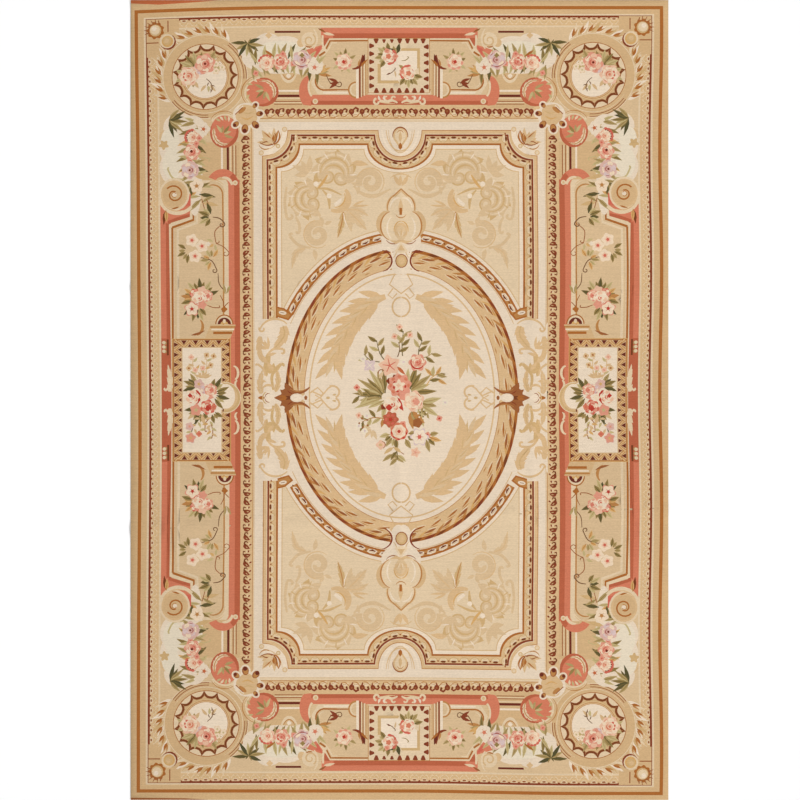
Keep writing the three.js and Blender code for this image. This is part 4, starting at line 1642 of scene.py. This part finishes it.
def addBakeMap(mesh, points, half, faceCount, hemCount, ringCount):
    # the face fills most of the map; the back and the hem share a strip at its side
    corners = np.zeros(len(mesh.loops), dtype=int)
    mesh.loops.foreach_get("vertex_index", corners)
    share = (points[corners, :2] / half + 1) / 2
    sizes = np.zeros(len(mesh.polygons), dtype=int)
    mesh.polygons.foreach_get("loop_total", sizes)
    owner = np.repeat(np.arange(len(sizes)), sizes)
    uv = inPatch("face", share)
    hem = (owner >= faceCount) & (owner < faceCount + hemCount)
    step = (owner[hem] - faceCount) % ringCount
    band = (owner[hem] - faceCount) // ringCount
    place = np.tile([0, 0, 1, 1], hemCount)
    lower = np.tile([0, 1, 1, 0], hemCount)
    left, head, width, pitch, tall = mapPlan["hem"]
    uv[hem] = np.column_stack([left + width * (step + place) / ringCount, head - pitch * band - tall * lower])
    under = owner >= faceCount + hemCount
    uv[under] = inPatch("back", share[under])
    layer = mesh.uv_layers.new(name="OFBake")
    layer.data.foreach_set("uv", uv.ravel().astype(np.float32))


def mathNode(tree, operation, a, b=None, c=None):
    node = tree.nodes.new("ShaderNodeMath")
    node.operation = operation
    for socket, value in zip(node.inputs, (a, b, c)):
        if value is None:
            continue
        if isinstance(value, (int, float)):
            socket.default_value = value
        else:
            tree.links.new(value, socket)
    return node.outputs[0]


def foldTree(material):
    # lifts face and back alike by the highest fold at each place
    tree = bpy.data.node_groups.new("rug folds", "GeometryNodeTree")
    tree.interface.new_socket("Geometry", in_out="OUTPUT", socket_type="NodeSocketGeometry")
    tree.interface.new_socket("Geometry", in_out="INPUT", socket_type="NodeSocketGeometry")
    for name, value in (("Fold height", 1), ("Curl height", foldPlan["curlHeight"])):
        socket = tree.interface.new_socket(name, in_out="INPUT", socket_type="NodeSocketFloat")
        socket.default_value = value
    enter = tree.nodes.new("NodeGroupInput")
    leave = tree.nodes.new("NodeGroupOutput")
    split = tree.nodes.new("ShaderNodeSeparateXYZ")
    tree.links.new(tree.nodes.new("GeometryNodeInputPosition").outputs[0], split.inputs[0])
    x, y = split.outputs[0], split.outputs[1]

    def ridge(distance, height, reach):
        t = mathNode(tree, "DIVIDE", distance, reach)
        hollow = mathNode(tree, "SUBTRACT", 1, mathNode(tree, "MULTIPLY", t, t))
        rise = mathNode(tree, "POWER", mathNode(tree, "MAXIMUM", hollow, 0), 2)
        return mathNode(tree, "MULTIPLY", rise, height)

    lift = 0
    for at, height, reach in foldPlan["longFolds"]:
        lift = mathNode(tree, "MAXIMUM", lift, ridge(mathNode(tree, "SUBTRACT", x, at), height, reach))
    for at, drift, height, reach in foldPlan["crossFolds"]:
        line = mathNode(tree, "MULTIPLY_ADD", x, drift, at)
        lift = mathNode(tree, "MAXIMUM", lift, ridge(mathNode(tree, "SUBTRACT", y, line), height, reach))
    lift = mathNode(tree, "MULTIPLY", lift, enter.outputs["Fold height"])
    headLine = rugPlan["along"] * rugPlan["stitch"] - foldPlan["curlReach"]
    inward = mathNode(tree, "DIVIDE", mathNode(tree, "SUBTRACT", y, headLine), foldPlan["curlReach"])
    inward = mathNode(tree, "POWER", mathNode(tree, "MAXIMUM", inward, 0), 2)
    outward = mathNode(tree, "SUBTRACT", foldPlan["curlFrom"], x)
    outward = mathNode(tree, "DIVIDE", outward, foldPlan["curlSpan"])
    outward = mathNode(tree, "MINIMUM", mathNode(tree, "MAXIMUM", outward, 0), 1)
    curl = mathNode(tree, "MULTIPLY", inward, outward)
    curl = mathNode(tree, "MULTIPLY", curl, enter.outputs["Curl height"])
    lift = mathNode(tree, "MAXIMUM", lift, curl)
    offset = tree.nodes.new("ShaderNodeCombineXYZ")
    tree.links.new(lift, offset.inputs[2])
    move = tree.nodes.new("GeometryNodeSetPosition")
    tree.links.new(enter.outputs["Geometry"], move.inputs["Geometry"])
    tree.links.new(offset.outputs[0], move.inputs["Offset"])
    real = tree.nodes.new("GeometryNodeRealizeInstances")
    paint = tree.nodes.new("GeometryNodeSetMaterial")
    paint.inputs["Material"].default_value = material
    tree.links.new(move.outputs[0], real.inputs[0])
    tree.links.new(real.outputs[0], paint.inputs["Geometry"])
    tree.links.new(paint.outputs[0], leave.inputs[0])
    return tree


# Wool: slanted tent stitches in rows, each row and stitch a little lighter or darker.
woolPlan = {
    "roughness": 0.92,
    "specular": 0.16,
    "stitchDepth": 0.0005,
    "stitchLong": 0.9,  # how fast a stitch falls away along its slant, and across it
    "stitchWide": 2.4,
    "rowPatch": (0.035, 0.83, 0),
    "bump": 0.55,
    "rowDrift": 0.08,
    "stitchDrift": 0.05,
    "dyeDrift": 0.035,
}


def shaderGroup(name, ins, outs):
    tree = bpy.data.node_groups.new(name, "ShaderNodeTree")
    for label, kind, value in ins:
        socket = tree.interface.new_socket(label, in_out="INPUT", socket_type=kind)
        if value is not None:
            socket.default_value = value
    for label, kind in outs:
        tree.interface.new_socket(label, in_out="OUTPUT", socket_type=kind)
    return tree, tree.nodes.new("NodeGroupInput"), tree.nodes.new("NodeGroupOutput")


def noiseNode(tree, vector, scale, detail):
    node = tree.nodes.new("ShaderNodeTexNoise")
    node.inputs["Scale"].default_value = scale
    node.inputs["Detail"].default_value = detail
    tree.links.new(vector, node.inputs["Vector"])
    return node.outputs["Fac"]


def scaled(tree, vector, factors):
    node = tree.nodes.new("ShaderNodeVectorMath")
    node.operation = "MULTIPLY"
    tree.links.new(vector, node.inputs[0])
    node.inputs[1].default_value = factors
    return node.outputs[0]


def tentStitch():
    # height of the slanted stitches, and a tone for every stitch and row
    ins = (("Place", "NodeSocketVector", None), ("Stitch", "NodeSocketFloat", rugPlan["stitch"]))
    outs = [(label, "NodeSocketFloat") for label in ("Height", "Stitch tone", "Row tone")]
    tree, enter, leave = shaderGroup("tent stitch", ins, outs)
    split = tree.nodes.new("ShaderNodeSeparateXYZ")
    tree.links.new(enter.outputs["Place"], split.inputs[0])
    u = mathNode(tree, "DIVIDE", split.outputs[0], enter.outputs["Stitch"])
    v = mathNode(tree, "DIVIDE", split.outputs[1], enter.outputs["Stitch"])
    inX = mathNode(tree, "SUBTRACT", mathNode(tree, "FRACT", u), 0.5)
    inY = mathNode(tree, "SUBTRACT", mathNode(tree, "FRACT", v), 0.5)
    long = mathNode(tree, "ADD", inX, inY)
    wide = mathNode(tree, "SUBTRACT", inX, inY)
    long = mathNode(tree, "MULTIPLY", mathNode(tree, "MULTIPLY", long, long), woolPlan["stitchLong"])
    wide = mathNode(tree, "MULTIPLY", mathNode(tree, "MULTIPLY", wide, wide), woolPlan["stitchWide"])
    hollow = mathNode(tree, "SUBTRACT", mathNode(tree, "SUBTRACT", 1, long), wide)
    tree.links.new(mathNode(tree, "SQRT", mathNode(tree, "MAXIMUM", hollow, 0)), leave.inputs["Height"])
    cell = tree.nodes.new("ShaderNodeCombineXYZ")
    tree.links.new(mathNode(tree, "FLOOR", u), cell.inputs[0])
    tree.links.new(mathNode(tree, "FLOOR", v), cell.inputs[1])
    white = tree.nodes.new("ShaderNodeTexWhiteNoise")
    white.noise_dimensions = "2D"
    tree.links.new(cell.outputs[0], white.inputs["Vector"])
    tree.links.new(white.outputs["Value"], leave.inputs["Stitch tone"])
    row = noiseNode(tree, scaled(tree, cell.outputs[0], woolPlan["rowPatch"]), 1, 1)
    tree.links.new(row, leave.inputs["Row tone"])
    return tree


def dyeLots():
    # broad soft patches, as wool from several dye lots
    ins = (("Place", "NodeSocketVector", None), ("Scale", "NodeSocketFloat", 3))
    tree, enter, leave = shaderGroup("dye lots", ins, (("Tone", "NodeSocketFloat"),))
    node = tree.nodes.new("ShaderNodeTexNoise")
    node.inputs["Detail"].default_value = 3
    tree.links.new(enter.outputs["Scale"], node.inputs["Scale"])
    tree.links.new(enter.outputs["Place"], node.inputs["Vector"])
    tree.links.new(node.outputs["Fac"], leave.inputs["Tone"])
    return tree


def toned(tree, colour, tone, drift):
    # lightens or darkens by a tone around one half
    gain = mathNode(tree, "MULTIPLY_ADD", tone, 2 * drift, 1 - drift)
    node = tree.nodes.new("ShaderNodeVectorMath")
    node.operation = "SCALE"
    tree.links.new(colour, node.inputs[0])
    tree.links.new(gain, node.inputs["Scale"])
    return node.outputs[0]


def woolMaterial():
    material = bpy.data.materials.new("needlepoint wool")
    material.use_nodes = True
    tree = material.node_tree
    place = tree.nodes.new("ShaderNodeTexCoord").outputs["Object"]
    yarn = tree.nodes.new("ShaderNodeAttribute")
    yarn.attribute_name = "yarn"
    stitch = tree.nodes.new("ShaderNodeGroup")
    stitch.node_tree = tentStitch()
    lots = tree.nodes.new("ShaderNodeGroup")
    lots.node_tree = dyeLots()
    for group in (stitch, lots):
        tree.links.new(place, group.inputs["Place"])
    colour = toned(tree, yarn.outputs["Color"], stitch.outputs["Stitch tone"], woolPlan["stitchDrift"])
    colour = toned(tree, colour, stitch.outputs["Row tone"], woolPlan["rowDrift"])
    colour = toned(tree, colour, lots.outputs["Tone"], woolPlan["dyeDrift"])
    shell = tree.nodes["Principled BSDF"]
    tree.links.new(colour, shell.inputs["Base Color"])
    shell.inputs["Roughness"].default_value = woolPlan["roughness"]
    shell.inputs["Specular IOR Level"].default_value = woolPlan["specular"]
    bump = tree.nodes.new("ShaderNodeBump")
    bump.inputs["Strength"].default_value = woolPlan["bump"]
    bump.inputs["Distance"].default_value = woolPlan["stitchDepth"]
    tree.links.new(stitch.outputs["Height"], bump.inputs["Height"])
    tree.links.new(bump.outputs["Normal"], shell.inputs["Normal"])
    return material


def foldedRug():
    # the flat sheet with its folds in it
    wool = woolMaterial()
    flat = flatSheet()
    rug = bpy.data.objects.new("needlepoint_rug", flat)
    bpy.context.scene.collection.objects.link(rug)
    tree = foldTree(wool)
    modifier = rug.modifiers.new("rug folds", "NODES")
    modifier.node_group = tree
    for item in tree.interface.items_tree:
        if item.in_out == "INPUT" and item.name == "Curl height":
            modifier[item.identifier] = foldPlan["curlHeight"]
    held = rug.evaluated_get(bpy.context.evaluated_depsgraph_get())
    made = bpy.data.meshes.new_from_object(held)
    rug.modifiers.clear()
    rug.data = made
    made.name = "needlepoint_rug"
    return rug


print("sheet: cutting the chart")
rug = foldedRug()
print("sheet:", len(rug.data.vertices), "points", len(rug.data.polygons), "faces")
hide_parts("rug")
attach(rug, "root")


# Stage: a white floor, even studio light with its key at the lower right.
stagePlan = {
    "floorSize": 30,
    "floor": 0.95,
    "sunFrom": (0.62, -0.5, 0.72),
    "sunAngle": 14,
    "sunStrength": 1.82,
    "fill": (0, 0, 6),
    "fillSize": 7,
    "fillPower": 152,
    "sky": 0.4,
    "lens": 200,
    "sensor": 36,
    "frameHeight": 2.72,
    "aim": (0.0017, 0),
}


def plainFloor():
    mesh = bpy.data.meshes.new("floor")
    half = stagePlan["floorSize"] / 2
    corners = [(-half, -half, 0), (half, -half, 0), (half, half, 0), (-half, half, 0)]
    mesh.from_pydata(corners, [], [(0, 1, 2, 3)])
    floor = bpy.data.objects.new("floor", mesh)
    bpy.context.scene.collection.objects.link(floor)
    paper = bpy.data.materials.new("floor paper")
    paper.use_nodes = True
    shell = paper.node_tree.nodes["Principled BSDF"]
    shell.inputs["Base Color"].default_value = (*[stagePlan["floor"]] * 3, 1)
    shell.inputs["Roughness"].default_value = 0.9
    shell.inputs["Specular IOR Level"].default_value = 0
    mesh.materials.append(paper)
    return floor


def lamp(name, kind, at, power):
    # a lamp at a place, turned to the middle of the rug
    light = bpy.data.lights.new(name, kind)
    light.energy = power
    held = bpy.data.objects.new(name, light)
    held.location = at
    held.rotation_euler = (-Vector(at)).to_track_quat("-Z", "Y").to_euler()
    bpy.context.scene.collection.objects.link(held)
    return light


print("stage: floor, lights and camera")
scene = bpy.context.scene
plainFloor()
key = lamp("key", "SUN", stagePlan["sunFrom"], stagePlan["sunStrength"])
key.angle = math.radians(stagePlan["sunAngle"])
fill = lamp("fill", "AREA", stagePlan["fill"], stagePlan["fillPower"])
fill.size = stagePlan["fillSize"]
sky = bpy.data.worlds.new("sky")
sky.use_nodes = True
sky.node_tree.nodes["Background"].inputs["Color"].default_value = (1, 1, 1, 1)
sky.node_tree.nodes["Background"].inputs["Strength"].default_value = stagePlan["sky"]
scene.world = sky
lens = bpy.data.cameras.new("camera")
lens.lens = stagePlan["lens"]
lens.sensor_width = stagePlan["sensor"]
lens.clip_end = 100
camera = bpy.data.objects.new("camera", lens)
reach = stagePlan["frameHeight"] * stagePlan["lens"] / stagePlan["sensor"]
camera.location = (*stagePlan["aim"], reach + rugPlan["thickness"])
scene.collection.objects.link(camera)
scene.camera = camera
scene.view_settings.view_transform = "Standard"
